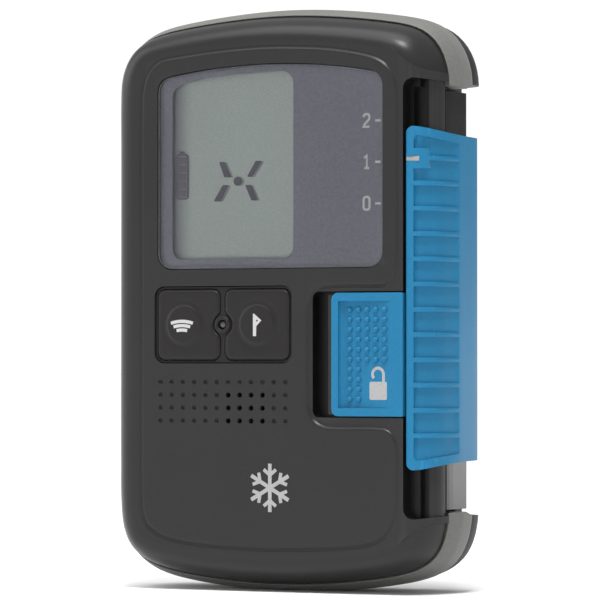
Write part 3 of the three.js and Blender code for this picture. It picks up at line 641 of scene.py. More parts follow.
# raised band round the slider channel, ending in an S-curve at each corner
band_sec = [bevel_xd(t, RIM_D, 0.33) for t in np.linspace(0.06, 1.0, 16)]
band_sec = [(27.0, RIM_D + 0.015)] + [(29.6, RIM_D + 0.015)] + [tuple(p) for p in band_sec if p[0] > 30.3]
band_sec = [(x, d) for x, d in band_sec] + [(36.2, 8.0), (35.0, 7.9), (30.0, 3.0), (27.0, 2.2)]
band_sec = [(x, min(d, 7.98)) for x, d in band_sec]
band = prism_z("band", band_sec, 9.0, 110.5)
S_TOP = [(26.0, 110.2), (27.4, 110.0), (28.9, 109.2), (30.4, 107.7), (31.8, 106.6), (33.4, 105.7), (35.4, 105.0), (38.0, 104.5), (42, 104.2)]
S_BOT = [(42, 14.9), (38.0, 14.5), (36.2, 14.2), (34.2, 13.6), (32.1, 12.3), (30.2, 10.7), (28.4, 9.5), (26.0, 9.0)]
cut = prism_y("cut", np.vstack([catmull(S_TOP, 6, False), catmull(S_BOT, 6, False)]), -2, 12)
boolean(band, cut, "INTERSECT")
boolean(front, band, "UNION")
# cavity
cav = loft("cavity", [(2.0, inset(8.0)), (3.0, inset(5.6)), (4.4, inset(4.0)), (5.8, inset(3.4)), (9.0, inset(3.4))])
boolean(cav, [prism_z("c1", [(29.3, 1), (40, 1), (40, 10), (33.7, 10), (33.7, 8), (33.2, 5.8), (31.6, 4.6), (29.3, 4.6)], 12.6, 106.2),
              box("c2", 9.0, 31, 1, 4.5, 34.2, 62.2)])
boolean(front, cav)
# channel
CH = [(30.8, -1), (30.8, 2.9), (33.35, 2.9), (33.42, 4.3), (34.6, 4.3), (34.72, 4.15), (35.15, 4.25), (35.55, 4.6), (35.7, 4.95), (35.78, 4.95),
      (35.98, 5.3), (36.2, 5.9), (36.38, 6.6), (36.5, 7.4), (36.55, 8.3), (42, 8.3), (42, -1)]
ch = prism_z("ch", CH, 14.5, 104.5)
chp = prism_y("chp", rp([(30.8, 15.0), (45, 16.9), (45, 101.9), (30.8, 103.8)], [2.2, 0, 0, 2.2], 8), -2, 12)
boolean(ch, chp, "INTERSECT")
boolean(front, ch)
boolean(front, prism_y("pocket", rp(rect(31.95, 34.1, 80.0, 101.8), 0.35, 4), 2.0, 4.42))
# display pocket, key pad opening, lock recess
boolean(front, prism_y("w1", window_outline(0.0), -1, 1.5))
boolean(front, prism_y("w2", window_outline(0.9), 1.0, 4.4))
boolean(front, prism_y("k", rp(rect(-25.5, 6.1, 46.4, 62.2), 2.1, 8), -1, 3.2))
lk = prism_y("lk", rp([(10.6, 35.5), (34, 35.5), (34, 60.9), (10.6, 60.9)], [1.3, 0, 0, 1.3], 6), -1, 3.1)
boolean(lk, box("lk2", 0, 30.9, -2, 5, 20, 80), "INTERSECT")
boolean(front, lk)
# the edges are rounded first, so the small grille holes keep clean rims
clean(front)
for p in front.data.polygons:
    p.use_smooth = True
m = front.modifiers.new("edge", "BEVEL")
m.width, m.segments, m.limit_method, m.angle_limit = 0.00013, 2, "ANGLE", math.radians(30)
m.use_clamp_overlap, m.harden_normals, m.miter_outer = True, False, "MITER_ARC"
apply_mods(front)
# sound grille: twelve holes go through, the rest are dimples
holes = []
for j in range(4):
    for i in range(12):
        through = 6 <= i <= 9 and j <= 2
        x, z = -24.1 + 2.61 * i, 34.7 + 2.63 * j
        r = 0.53 if through else 0.46
        if through:
            holes.append(loft("h", [(-0.5, circle(x, z, r + 0.1, 16)), (0.0, circle(x, z, r + 0.1, 16)), (0.03, circle(x, z, r + 0.03, 16)), (0.1, circle(x, z, r, 16)), (3.0, circle(x, z, r, 16))]))
        else:
            holes.append(loft("h", [(-0.5, circle(x, z, r + 0.1, 14)), (0.0, circle(x, z, r + 0.1, 14)), (0.03, circle(x, z, r + 0.03, 14)), (0.1, circle(x, z, r, 14)),
                                    (0.28, circle(x, z, r, 14)), (0.5, circle(x, z, r * 0.45, 14))]))
boolean(front, join("holes", holes))
for p in front.data.polygons:
    flat = abs(p.normal.y) > 0.99999 and abs(p.center.y * 1000 + DM) < 0.003 and len(p.vertices) > 4
    p.use_smooth = not flat
front.data.set_sharp_from_angle(angle=math.radians(40))
m = front.modifiers.new("normals", "WEIGHTED_NORMAL")
m.keep_sharp, m.weight = True, 50
piece(front, "housing", M_FASCIA, ["front_shell"])
# painted shade: the slider channel floor and the lock recess floor get a near-black colour that stands in for the shade
# in these recesses
front.data.materials.append(M_RECESS_SHADE)
for p in front.data.polygons:
    x, d, z = p.center.x * 1000, p.center.y * 1000 + DM, p.center.z * 1000
    if (30.7 < x < 34.65 and 0.5 < d < 4.5 and 14.4 < z < 104.6) or (10.4 < x < 31.0 and 0.5 < d < 3.2 and 35.3 < z < 61.1):
        p.material_index = 1

# ------------------------------------------------------------------ bumper
prof = [(9.6, 1.4), (9.6, 0.12), (8.75, -0.04), (8.42, -0.16), (8.36, -0.28), (8.42, -0.44), (9.1, -0.76), (10.2, -1.2), (11.4, -1.6), (12.1, -1.76), (12.7, -1.82),
        (13.6, -1.84), (14.6, -1.85), (15.6, -1.84), (16.4, -1.78), (16.85, -1.62), (17.1, -1.35), (BUMPER_D1, -1.0), (BUMPER_D1, 1.4)]
bumper = loft("bumper", [(d, inset(w)) for d, w in prof], closed_ring=True)
cutp = [(6, 102.4), (8.2, 102.3), (10.5, 102.1), (13.2, 101.75), (17.4, 102.85), (19, 102.9), (19, 15.4), (17.4, 15.5), (13.2, 16.6), (8.2, 16.3), (6, 16.2)]
boolean(bumper, prism_x("bc", cutp, 20, 45))
finish_mesh(bumper, 0.16, 3, 50)
apply_mods(bumper)
# the band is pressed flat where it stands on the table
for v in bumper.data.vertices:
    v.co.z = max(v.co.z, -0.00002)
piece(bumper, "housing", M_BUMPER, ["bumper_frame"])

# ------------------------------------------------------------------ rear shell
rs = [(17.45, 0.0), (17.45, -0.5), (17.5, -0.85), (17.62, -1.04), (17.9, -1.18), (18.6, -1.28), (19.6, -1.32), (20.5, -1.26), (21.3, -1.06), (22.0, -0.7), (22.7, -0.2), (23.4, 0.48),
      (24.1, 1.35), (24.8, 2.35), (25.5, 3.45), (26.1, 4.5), (26.65, 5.6), (27.08, 6.7), (27.38, 7.7), (27.5, 8.5), (27.5, 8.9), (27.5, 9.4)]
rear = loft("rear", [(d, inset(w)) for d, w in rs])
rear_in = loft("rear_in", [(8.5, inset(1.7)), (17.6, inset(1.7))])
boolean(rear, rear_in, "UNION")
scoop = [(34.4, 17.2), (34.4, 20.3), (34.2, 21.2), (33.6, 22.6), (32.5, 24.6), (31.2, 26.2), (29.4, 27.7), (29.4, 29), (45, 29), (45, 17.2)]
boolean(rear, [prism_z("sc", scoop, 15.6, 102.8), box("rl", 33.2, 45, 8, 17.5, 16.6, 101.6)])
hol = loft("hol", [(8.0, inset(3.7)), (19.4, inset(3.7)), (22.0, inset(4.6)), (24.2, inset(6.6)), (25.5, inset(9.0))])
boolean(hol, [box("h1", 31.2, 45, 0, 30, 12.6, 105.8), box("h2", -18.4, 18.4, 12.9, 30, 8, 73.4), box("h3", -9.6, 9.6, 20.6, 30, 89.5, 102.5)])
boolean(rear, hol)
boolean(rear, [box("bay", -17.1, 17.1, 14.1, 30, 18.2, 67.4),
               prism_y("dr", rp(rect(-19.25, 19.25, 9.55, 73.5), 2.2, 6), 25.6, 30),
               box("hp", -12.3, 12.3, 22.9, 30, 68.0, 73.5),
               prism_y("lp", rp(rect(-7.5, 7.5, 91.5, 100.5), 2.0, 8), 21.8, 30),
               tube_y("ds", 0, 13.7, 3.0, 20.4, 30, 40)])
SCREWS = [(-26.5, 104.5), (26.3, 105.6), (-26.5, 14.5), (26.3, 13.4)]
for x, z in SCREWS:
    boolean(rear, tube_y("sh", x, z, 2.4, 22.6, 30, 32))
# shallow framed field for a rating plate, left blank
boolean(rear, prism_y("field", rp(rect(-17, 17, 76.4, 88.0), 1.6, 6), 27.2, 30))
# a hinge lug at each side of the door hinge
lugs = []
for s in (-1, 1):
    lug = revolve("lug", [(0, 12.45), (1.75, 12.45), (1.9, 12.6), (1.9, 15.6), (1.75, 15.8), (0, 15.8)], "x", (0, 25.4, 70.6), 32)
    if s < 0:
        for v in lug.data.vertices:
            v.co.x *= -1
    lugs.append(lug)
finish_mesh(rear, 0.15, 2, 34)
piece(rear, "housing", M_CASE, ["rear_shell"])
lug = join("hinge_lugs", lugs)
bm = bmesh.new(); bm.from_mesh(lug.data); bmesh.ops.recalc_face_normals(bm, faces=bm.faces); bm.to_mesh(lug.data); bm.free()
finish_mesh(lug, 0, smooth=40)
piece(lug, "housing", M_CASE)

# ------------------------------------------------------------------ slide rail
rail = prism_z("rail", rp([(33.5, 8.5), (36.55, 8.5), (36.68, 9.6), (36.75, 11.2), (36.75, 17.9), (34.75, 17.9), (34.75, 17.15), (33.5, 17.15)], [0, .12, .6, .8, .12, 0, 0, 0], 3), 17.0, 101.2)
boolean(rail, box("rp", 35.5, 40, 10.2, 14.6, 50.0, 69.0))
boolean(rail, box("tongue", 33.9, 35.9, 8.02, 9.0, 17.0, 101.2), "UNION")
finish_mesh(rail, 0.06, 2, 40)
piece(rail, "housing", M_RAIL, ["slide_rail"])

# ------------------------------------------------------------------ function slider
SL0, SL1 = 25.1, 93.8
so = catmull([(31.15, 1.6), (31.2, 0.75), (31.5, 0.5), (32.2, 0.42), (33.1, 0.5), (34.3, 1.0), (35.5, 2.1), (36.5, 3.9), (37.25, 6.1), (37.8, 8.6), (38.15, 11.2), (38.25, 14.5), (38.28, 19.3), (38.15, 20.1), (37.7, 20.4)], 5, False)
si = [(34.8, 20.4), (34.8, 18.1), (36.93, 18.1), (36.93, 9.6), (36.82, 8.3), (36.66, 7.2), (36.42, 6.1), (36.08, 5.1), (35.6, 4.3), (34.9, 3.4), (34.2, 2.7), (33.3, 1.95), (32.65, 1.95), (32.65, 2.6), (31.15, 2.6)]
slider = prism_z("slider", np.vstack([so, np.array(si)]), SL0, SL1)
TAPER = np.array([(-2.0, -0.05), (0.0, -0.02), (0.45, 0.0), (1.0, 0.16), (1.6, 0.3), (3.0, 0.6), (6.1, 1.0), (8.6, 1.24), (11.2, 1.42), (15, 1.56), (21.0, 1.69)])


def ends(w):
    """Section (d, z) whose two ends fall away towards the back."""
    return [(d, SL0 + w + t) for d, t in TAPER] + [(d, SL1 - w - t) for d, t in TAPER[::-1]]


boolean(slider, prism_x("s1", ends(0), 25, 45), "INTERSECT")
boolean(slider, prism_y("s2", rp([(31.0, SL0 - 0.1), (45, SL0 - 0.1), (45, SL1 + 0.1), (31.0, SL1 + 0.1)], [2.3, 0, 0, 2.3], 10), -1, 22), "INTERSECT")
pocket_floor = catmull([(32.95, 1.3), (33.8, 1.6), (34.95, 2.6), (35.95, 4.1), (36.76, 6.2), (37.32, 8.5), (37.8, 10.4), (38.4, 12.0)], 6, False)
pk = prism_z("pk", np.vstack([[(32.95, -1)], pocket_floor, [(42, 12.0), (42, -1)]]), SL0 + 0.5, SL1 - 0.5)
boolean(pk, prism_x("pk1", ends(1.75), 25, 45), "INTERSECT")
boolean(pk, prism_y("pk2", rp([(32.95, SL0 + 1.5), (45, SL0 + 1.5), (45, SL1 - 1.5), (32.95, SL1 - 1.5)], [1.5, 0, 0, 1.5], 8), -2, 22), "INTERSECT")
# ribs and the index block stay
ribs = []
RIB0, PITCH = 32.0, 5.04
for i in range(12):
    z = RIB0 + i * PITCH
    ribs.append(box("r", 32.0, 45, -2, 22, z - 0.47, z + 0.47))
boolean(pk, join("ribs", ribs))
IDX = 87.3
boolean(pk, prism_y("ib", rp(rect(32.0, 35.55, IDX - 2.0, IDX + 2.1), [0, 0.3, 0.3, 0], 3), -2, 22))
boolean(slider, pk)
boolean(slider, box("mk", 31.32, 34.2, -1, 0.74, IDX - 0.5, IDX + 0.5))
finish_mesh(slider, 0.16, 2, 30)
piece(slider, "function_switch", M_BLUE, ["function_slider"])
mark = prism_y("index_mark", rp(rect(31.36, 34.16, IDX - 0.46, IDX + 0.46), 0.1, 2), 0.56, 0.78)
piece(finish_mesh(mark, 0.04, 1), "function_switch", M_INDEX, ["slider_index_mark"])

# ------------------------------------------------------------------ lock key
lx0, lx1, lz0, lz1 = 14.9, 30.75, 35.8, 60.6
lock = prism_y("lock", rp(rect(lx0, lx1, lz0, lz1), [1.4, 0.3, 0.3, 1.4], 8), 0.12, 1.7)
lp = prism_z("lp", [(lx0 + 1.5, -1), (lx0 + 1.5, 0.55), (lx0 + 1.75, 0.95), (lx0 + 2.25, 1.22), (lx0 + 3.2, 1.24), (lx1 - 4.0, 0.35), (lx1 - 2.6, 0.16), (lx1 - 1.8, 0.11), (lx1 - 1.8, -1)], lz0 + 1.65, lz1 - 1.65)
boolean(lock, lp)
finish_mesh(lock, 0.22, 3, 25)
piece(lock, "lock", M_BLUE, ["lock_key"])


def lock_floor(x):
    return float(np.interp(x, [lx0 + 2.25, lx0 + 3.2, lx1 - 4.0, lx1 - 2.6, lx1 - 1.8], [1.22, 1.24, 0.35, 0.16, 0.11]))


bumps = []
for r in range(10):
    for c in range(5 if r < 6 else 2):
        x, z = 18.6 + 2.02 * c, 57.2 - 2.0 * r
        f = lock_floor(x)
        R, h = 0.61, 0.66
        pr = [(0, f - h)] + [(R * math.sin(t), f - h * math.cos(t)) for t in np.linspace(0.25, math.pi / 2, 6)] + [(R, f + 0.15), (0, f + 0.15)]
        bumps.append(revolve("b", pr, "y", (x, 0, z), 18))
bumps = join("lock_key_pips", bumps)
piece(finish_mesh(bumps, 0, smooth=60, weighted=False), "lock", M_BLUE)


def flat_strip(name, pts, width, d, thick=0.06, closed=False, dfun=None, n_end=5):
    """A printed line: pts is its centreline in (x, z)."""
    p = np.array(pts, float)
    if closed:
        n = ring_normals(p)
        a, b = p + n * width / 2, p - n * width / 2
        v, f = [], []
        m = len(p)
        for dd in (d, d + thick):
            for ring in (a, b):
                v += [(q[0], (dfun(q[0]) if dfun else 0) + dd, q[1]) for q in ring]
        for i in range(m):
            j = (i + 1) % m
            f += [(i, j, m + j, m + i), (2 * m + i, 3 * m + i, 3 * m + j, 2 * m + j), (i, 2 * m + i, 2 * m + j, j), (m + i, m + j, 3 * m + j, 3 * m + i)]
        return make(name, v, f)
    t = np.gradient(p, axis=0)
    t /= np.maximum(np.hypot(t[:, 0], t[:, 1]), 1e-9)[:, None]
    # exact mitre at the inner corners
    nrm = np.c_[-t[:, 1], t[:, 0]]
    k = np.ones(len(p))
    for i in range(1, len(p) - 1):
        u, w = p[i] - p[i - 1], p[i + 1] - p[i]
        u, w = u / np.hypot(*u), w / np.hypot(*w)
        bis = (u + w) / max(np.hypot(*(u + w)), 1e-6)
        nrm[i] = (-bis[1], bis[0])
        k[i] = min(1 / max(abs(bis @ u), 0.5), 1.6)
    a, b = p + nrm * (k * width / 2)[:, None], p - nrm * (k * width / 2)[:, None]
    ring = np.vstack([a, b[::-1]])
    m = len(ring)
    v = [(q[0], (dfun(q[0]) if dfun else 0) + dd, q[1]) for dd in (d, d + thick) for q in ring]
    f = []
    n = len(p)
    for i in range(n - 1):
        f.append((i, i + 1, m - 2 - i, m - 1 - i))
        f.append((m + i, m + m - 1 - i, m + m - 2 - i, m + i + 1))
    for i in range(m):
        j = (i + 1) % m
        f.append((i, m + i, m + j, j))
    return make(name, v, f)


def arc(cx, cz, r, a0, a1, n=16):
    return [(cx + r * math.cos(math.radians(a)), cz + r * math.sin(math.radians(a))) for a in np.linspace(a0, a1, n)]


def sheet_poly(name, pts, d, thick=0.06, dfun=None, step=0.35):
    """Flat printed field that may follow a sloping floor along x."""
    p = ccw(np.array(pts, float))
    v = [(q[0], (dfun(q[0]) if dfun else 0) + dd, q[1]) for dd in (d, d + thick) for q in p]
    m = len(p)
    f = [tuple(range(m)), tuple(range(2 * m - 1, m - 1, -1))] + [(i, m + i, m + (i + 1) % m, (i + 1) % m) for i in range(m)]
    return make(name, v, f)


pad_icon = join("lock_icon", [
    sheet_poly("a", rp(rect(23.15, 27.2, 39.1, 42.75), 0.35, 4), -0.03, 0.05, lock_floor),
    flat_strip("b", [(26.4, 42.6), (26.4, 44.2)] + arc(25.12, 44.2, 1.28, 8, 180, 16) + [(23.95, 43.75), (24.2, 43.45)], 0.62, -0.035, 0.05, dfun=lock_floor),
])
piece(finish_mesh(pad_icon, 0, weighted=False), "lock", M_DULLPRINT)
carrier = prism_y("carrier", rp(rect(13.2, 30.4, lz0 + 0.2, lz1 - 0.2), [0.4, 0.2, 0.2, 0.4], 4), 2.0, 2.8)
boolean(carrier, box("cp", 18.2, 21.6, 2.7, 5.6, 46.4, 50.0), "UNION")
piece(finish_mesh(carrier, 0.12, 2), "lock", M_RAIL, ["lock_carrier"])

# ------------------------------------------------------------------ key pad
BOSS = (-9.9, 54.3)


def key_outline(x0, x1, z0=46.98, z1=61.62, r=1.75, side=1):
    """Rounded rectangle with a round bite for the boss on its inner side (side 1: right, -1: left)."""
    base = resample(rp(rect(x0, x1, z0, z1), r, 8), 0.2)
    out = []
    R = 2.15
    for p in base:
        v = p - np.array(BOSS)
        h = np.hypot(*v)
        out.append(p if h >= R else np.array(BOSS) + np.array([-side * math.sqrt(max(R * R - v[1] ** 2, 0)), v[1]]))
    out = ccw(resample(np.array(out), 0.2))
    for _ in range(14):
        near = (np.abs(np.hypot(*(out - np.array(BOSS)).T) - R) < 0.9)[:, None]
        avg = (np.roll(out, 1, 0) + np.roll(out, -1, 0) + out) / 3
        out = np.where(near, avg, out)
    return resample(out, 0.2)


def key_mesh(name, x0, x1, side, cx, cz=54.3):
    o = key_outline(x0, x1, side=side)
    c = np.array([cx, cz])
    rings = [np.c_[o[:, 0], np.full(len(o), 3.1), o[:, 1]], np.c_[o[:, 0], np.full(len(o), 0.82), o[:, 1]]]
    nrm = ring_normals(o)
    for w, d in ((0.02, 0.7), (0.08, 0.52), (0.2, 0.34), (0.38, 0.2), (0.6, 0.1), (0.85, 0.05)):
        q = o - nrm * w
        rings.append(np.c_[q[:, 0], np.full(len(q), d), q[:, 1]])
    inner = o - nrm * 0.85
    steps = np.r_[np.linspace(0.04, 0.3, 7), np.linspace(0.33, 0.97, 30)]
    for s in steps:
        q = inner + (c - inner) * s
        rr = np.hypot(*(q - c).T)
        dome = np.clip((4.35 - rr) / 0.85, 0, 1)
        dome = dome * dome * (3 - 2 * dome)
        sink = np.exp(-((rr - 4.75) / 0.5) ** 2)
        d = 0.05 + 0.07 * sink - 0.3 * dome
        rings.append(np.c_[q[:, 0], d, q[:, 1]])
    n, m = len(o), len(rings)
    v = np.vstack(rings + [np.array([[cx, 0.05 - 0.3, cz]])])
    f = []
    for k in range(m - 1):
        for i in range(n):
            j = (i + 1) % n
            f.append((k * n + i, k * n + j, (k + 1) * n + j, (k + 1) * n + i))
    f.append(tuple(range(n)))
    for i in range(n):
        f.append(((m - 1) * n + i, (m - 1) * n + (i + 1) % n, m * n))
    return make(name, v, f)


for nm, x0, x1, side, cx, body in (("key_scan", -24.95, -10.42, 1, -18.6, "scan_button"), ("key_flag", -9.42, 5.5, -1, -1.8, "flag_button")):
    k = key_mesh(nm, x0, x1, side, cx)
    boolean(k, [])
    finish_mesh(k, 0, smooth=50, weighted=False)
    piece(k, body, M_RUBBER, ["scan_key" if side > 0 else "flag_key"])
ic = []
for r_, half, t_ in ((8.4, 17.5, 0.66), (7.52, 14.8, 0.64), (6.62, 10.6, 0.66)):
    ic.append(flat_strip("w", arc(-18.98, 46.62, r_, 90 + half, 90 - half, 14), t_, -0.275, 0.1))
wave = join("icon_scan", ic)
piece(finish_mesh(wave, 0, weighted=False), "scan_button", M_GREYPRINT)
fl = sheet_poly("flag", [(-2.62, 51.95), (-1.9, 51.95), (-1.86, 53.95), (-0.72, 55.15), (-2.42, 56.55), (-2.62, 56.4)], -0.275, 0.1)
boolean(fl, tube_y("fh", -1.72, 55.1, 0.2, -1, 1, 14))
fl.name = "icon_flag"
piece(finish_mesh(fl, 0, weighted=False), "flag_button", M_GREYPRINT)

pad = prism_y("pad", rp(rect(-25.4, 6.0, 46.5, 62.1), 2.0, 8), 0.5, 2.2)
boolean(pad, prism_y("pf", rp(rect(-26.6, 7.2, 45.3, 63.3), 2, 6), 2.15, 2.9), "UNION")
boolean(pad, prism_y("p1", grow(key_outline(-24.95, -10.42, side=1), 0.06), -1, 4))
boolean(pad, prism_y("p2", grow(key_outline(-9.42, 5.5, side=-1), 0.06), -1, 4))
boolean(pad, tube_y("p3", BOSS[0], BOSS[1], 1.0, -1, 4, 28))
finish_mesh(pad, 0.1, 2, 32)
piece(pad, "housing", M_RUBBER, ["keypad_mat"])
boss = revolve("boss_ring", [(1.02, 0.9), (1.02, 0.2), (1.12, 0.06), (1.35, 0.0), (1.62, 0.05), (1.78, 0.2), (1.82, 0.9), (1.02, 0.9)], "y", (BOSS[0], 0, BOSS[1]), 40)
piece(finish_mesh(boss, 0, smooth=60, weighted=False), "housing", M_RUBBER)
lp_ = revolve("light_pipe", [(0, 0.3), (0.3, 0.32), (0.55, 0.42), (0.72, 0.62), (0.76, 0.9), (0.76, 4.6), (0, 4.6)], "y", (BOSS[0], 0, BOSS[1]), 32)
piece(finish_mesh(lp_, 0, smooth=60, weighted=False), "housing", M_PIPE, ["indicator_light_pipe"])

# ------------------------------------------------------------------ display
lens = loft("lens", [(1.28, window_outline(0.14)), (0.5, window_outline(0.14)), (0.34, window_outline(0.18)), (0.2, window_outline(0.3)), (0.12, window_outline(0.46)), (0.1, window_outline(0.62)), (0.1, window_outline(1.0))])
piece(finish_mesh(lens, 0, smooth=28, weighted=False), "housing", M_CLEAR, ["display_window"])
lens.data.materials.append(M_CLEAR_BACK)
for p in lens.data.polygons:
    if p.normal.y > -0.2:
        p.material_index = 1
# painted highlight: a pale grey ring round the lens edge stands in for the light caught there; its gloss is real
rim = flat_strip("lens_edge_painted_highlight", window_outline(0.30), 0.13, 0.24, 0.05, closed=True)
piece(finish_mesh(rim, 0, weighted=False), "housing", M_LENS_EDGE_HIGHLIGHT)
mask = prism_y("mask", window_outline(0.12), 1.31, 1.47)
lcd_hole = rp([(-22.0, 67.7), (5.75, 67.7), (5.78, 80), (5.78, 105.75), (-1.0, 105.7), (-8, 105.35), (-14, 104.8), (-19.6, 103.9), (-22.0, 102.2)],
              [2.2, 2.4, 0, 2.6, 0, 0, 0, 2.2, 1.8], 8)
boolean(mask, prism_y("mh", lcd_hole, 1, 3))
finish_mesh(mask, 0, smooth=30)
piece(mask, "housing", M_MASK, ["display_mask"])
lcdp = prism_y("lcd_panel", rp(rect(-23.4, 9.0, 65.6, 106.6), 0.4, 3), 2.5, 4.1)
piece(finish_mesh(lcdp, 0.1, 2), "housing", M_LCD, ["lcd_glass"])

# LCD picture: a centre dot, four rays and a battery gauge
LC = (-7.42, 83.6)
segs = []
for pts in (((-11.72, 87.6), (-10.53, 87.6), (-9.05, 84.47), (-10.53, 84.47)), ((-3.3, 87.68), (-1.95, 87.68), (-4.13, 84.45), (-5.36, 84.45)),
            ((-10.9, 82.85), (-9.5, 82.85), (-11.5, 79.57), (-13.0, 79.57)), ((-5.75, 82.8), (-4.5, 82.8), (-2.95, 79.63), (-4.3, 79.63))):
    segs.append(rp([(x + 0.05, z) for x, z in pts], 0.16, 3))
segs.append(circle(LC[0], LC[1], 0.92, 28))
seg = join("lcd_rays", [sheet_poly("s", s, 2.2, 0.05) for s in segs])
piece(finish_mesh(seg, 0, weighted=False), "housing", M_SEG)
sh = join("lcd_ray_shadows", [sheet_poly("s", np.array(s) + np.array([0.5, -0.05]), 2.44, 0.04) for s in segs])
piece(finish_mesh(sh, 0, weighted=False), "housing", M_SEG_SOFT)
gauge = [flat_strip("g", resample(rp(rect(-21.55, -19.0, 80.25, 89.25), 0.3, 3), 0.4), 0.42, 2.2, 0.05, closed=True), sheet_poly("g", rect(-20.9, -19.65, 89.5, 89.95), 2.2, 0.05)]
for k in range(5):
    gauge.append(sheet_poly("g", rect(-21.18, -19.37, 80.62 + k * 1.68, 82.12 + k * 1.68), 2.2, 0.05))
gauge = join("lcd_gauge", gauge)
piece(finish_mesh(gauge, 0, weighted=False), "housing", M_SEG_DIM)

# plain position numbers and ticks behind the window
GLYPH = {
    "0": [[(.5, 0), (.3, 0), (.1, .06), (0, .2), (0, .8), (.1, .94), (.3, 1), (.7, 1), (.9, .94), (1, .8), (1, .2), (.9, .06), (.7, 0), (.45, 0)]],
    "1": [[(.12, .8), (.55, 1), (.55, 0)], [(.15, 0), (.95, 0)]],
    "2": [[(0, .78), (.06, .9), (.28, 1), (.72, 1), (.94, .9), (1, .74), (.9, .58), (.12, .16), (0, 0), (1, 0)]],
}


def word(text, x1, zc, h=2.55, w=1.3, gap=0.62, stroke=0.46):
    n = len(text)
    total = n * w + (n - 1) * gap
    x = x1 - total - stroke / 2
    out = []
    for ch in text:
        for line in GLYPH[ch]:
            out.append(flat_strip("t", [(x + u * w, zc - h / 2 + v * h) for u, v in line], stroke, 1.25, 0.04))
        x += w + gap
    return out


words = word("2", 23.1, 95.2) + word("1", 23.1, 86.9) + word("0", 23.1, 78.55)
for z in (95.15, 86.85, 78.5):
    words.append(sheet_poly("t", rect(24.15, 25.35, z - 0.22, z + 0.22), 1.25, 0.04))
words = join("position_numbers", words)
piece(finish_mesh(words, 0, weighted=False), "housing", M_WHITE)

# plain six-armed snow mark on the lower face
marks = []
for k in range(6):
    a = math.radians(90 + 60 * k)
    u = np.array([math.cos(a), math.sin(a)])
    c = np.array([1.1, 21.2])
    marks.append(flat_strip("m", [c + u * (0.42 if k % 2 else 0.0), c + u * 4.9], 0.8, -0.02 - 0.002 * k, 0.05))
    for t in (-1, 1):
        b = a + math.radians(50) * t
        w = np.array([math.cos(b), math.sin(b)])
        marks.append(flat_strip("m", [c + u * 2.55, c + u * 2.55 + w * 1.8], 0.7, -0.034 - 0.001 * t, 0.05))
marks = join("snow_mark", marks)
piece(finish_mesh(marks, 0, weighted=False), "housing", M_DULLPRINT)

# ------------------------------------------------------------------ battery door, screws, lanyard bar
door = prism_y("door", rp(rect(-19, 19, 9.8, 68.4), 2.0, 6), 25.9, 27.5)
boolean(door, box("d1", -12, 12, 25.9, 27.3, 67.9, 70.6), "UNION")
boolean(door, revolve("d2", [(0, -12), (1.85, -12), (2.0, -11.85), (2.0, 11.85), (1.85, 12), (0, 12)], "x", (0, 25.4, 70.6), 32), "UNION")
boolean(door, [prism_x("d3", circle(25.4, 70.6, 1.05, 24), -14, 14), tube_y("d4", 0, 13.7, 2.1, 20, 30, 32), tube_y("d5", 0, 13.7, 3.7, 26.5, 30, 48)])
boolean(door, join("gr", [prism_x("g", rp([(27.0, 57.6 + i * 1.9), (28.5, 57.6 + i * 1.9), (28.5, 58.6 + i * 1.9), (27.0, 58.6 + i * 1.9)], 0.0), -6.5, 6.5) for i in range(5)]))
boolean(door, prism_y("field", rp(rect(-14, 14, 22, 52), 1.6, 6), 27.3, 30))
finish_mesh(door, 0.18, 2, 32)
piece(door, "door", M_CASE, ["battery_door"])
ds = tube_y("coin_screw", 0, 13.7, 3.4, 26.75, 27.45, 56)
boolean(ds, tube_y("sh", 0, 13.7, 1.6, 21.5, 26.9, 32), "UNION")
boolean(ds, prism_y("sl", rp(rect(-2.7, 2.7, 13.1, 14.3), 0.5, 5), 26.9, 30))
piece(finish_mesh(ds, 0.08, 2, 40), "door_lock", M_STEEL, ["door_lock_screw"])
for i, (x, z) in enumerate(SCREWS):
    s = revolve("case_screw_%d" % (i + 1), [(0, 24.4), (1.5, 24.38), (1.85, 24.2), (1.95, 23.9), (1.95, 22.9), (0.95, 22.9), (0.95, 4.9), (0.7, 4.6), (0, 4.6)], "y", (x, 0, z), 32)
    star = []
    for k in range(12):
        a = 2 * math.pi * k / 12
        star.append((x + (1.15 if k % 2 == 0 else 0.72) * math.cos(a), z + (1.15 if k % 2 == 0 else 0.72) * math.sin(a)))
    boolean(s, prism_y("st", star, 23.5, 26))
    piece(finish_mesh(s, 0.04, 1, 40), "housing", M_STEEL, ["housing_screw_%d" % (i + 1)])
bar = revolve("lanyard_pin", [(0, -8.6), (1.05, -8.6), (1.2, -8.4), (1.2, 8.4), (1.05, 8.6), (0, 8.6)], "x", (0, 25.2, 96), 40)
piece(finish_mesh(bar, 0, smooth=50, weighted=False), "housing", M_STEEL, ["lanyard_bar"])

# ------------------------------------------------------------------ materials of the CAD nodes that stay
for sp in frame["record"].get("subparts", []):
    o = NODES.get(sp["node"])
    if o is None or o.hide_render:
        continue
    o.data.materials.clear()
    o.data.materials.append(CAD_MATS.get(sp["material_slot"], M_CASE))

# ------------------------------------------------------------------ stage, light, camera
bpy.ops.mesh.primitive_plane_add(size=80, location=(0, 0, -0.00005))
floor = bpy.context.object
floor.name = "floor"
fm = bpy.data.materials.new("floor_pale")
fm.use_nodes = True
fb = fm.node_tree.nodes["Principled BSDF"]
fb.inputs["Base Color"].default_value = (0.93, 0.93, 0.93, 1)
fb.inputs["Roughness"].default_value = 0.9
fb.inputs["Specular IOR Level"].default_value = 0.1
floor.data.materials.append(fm)

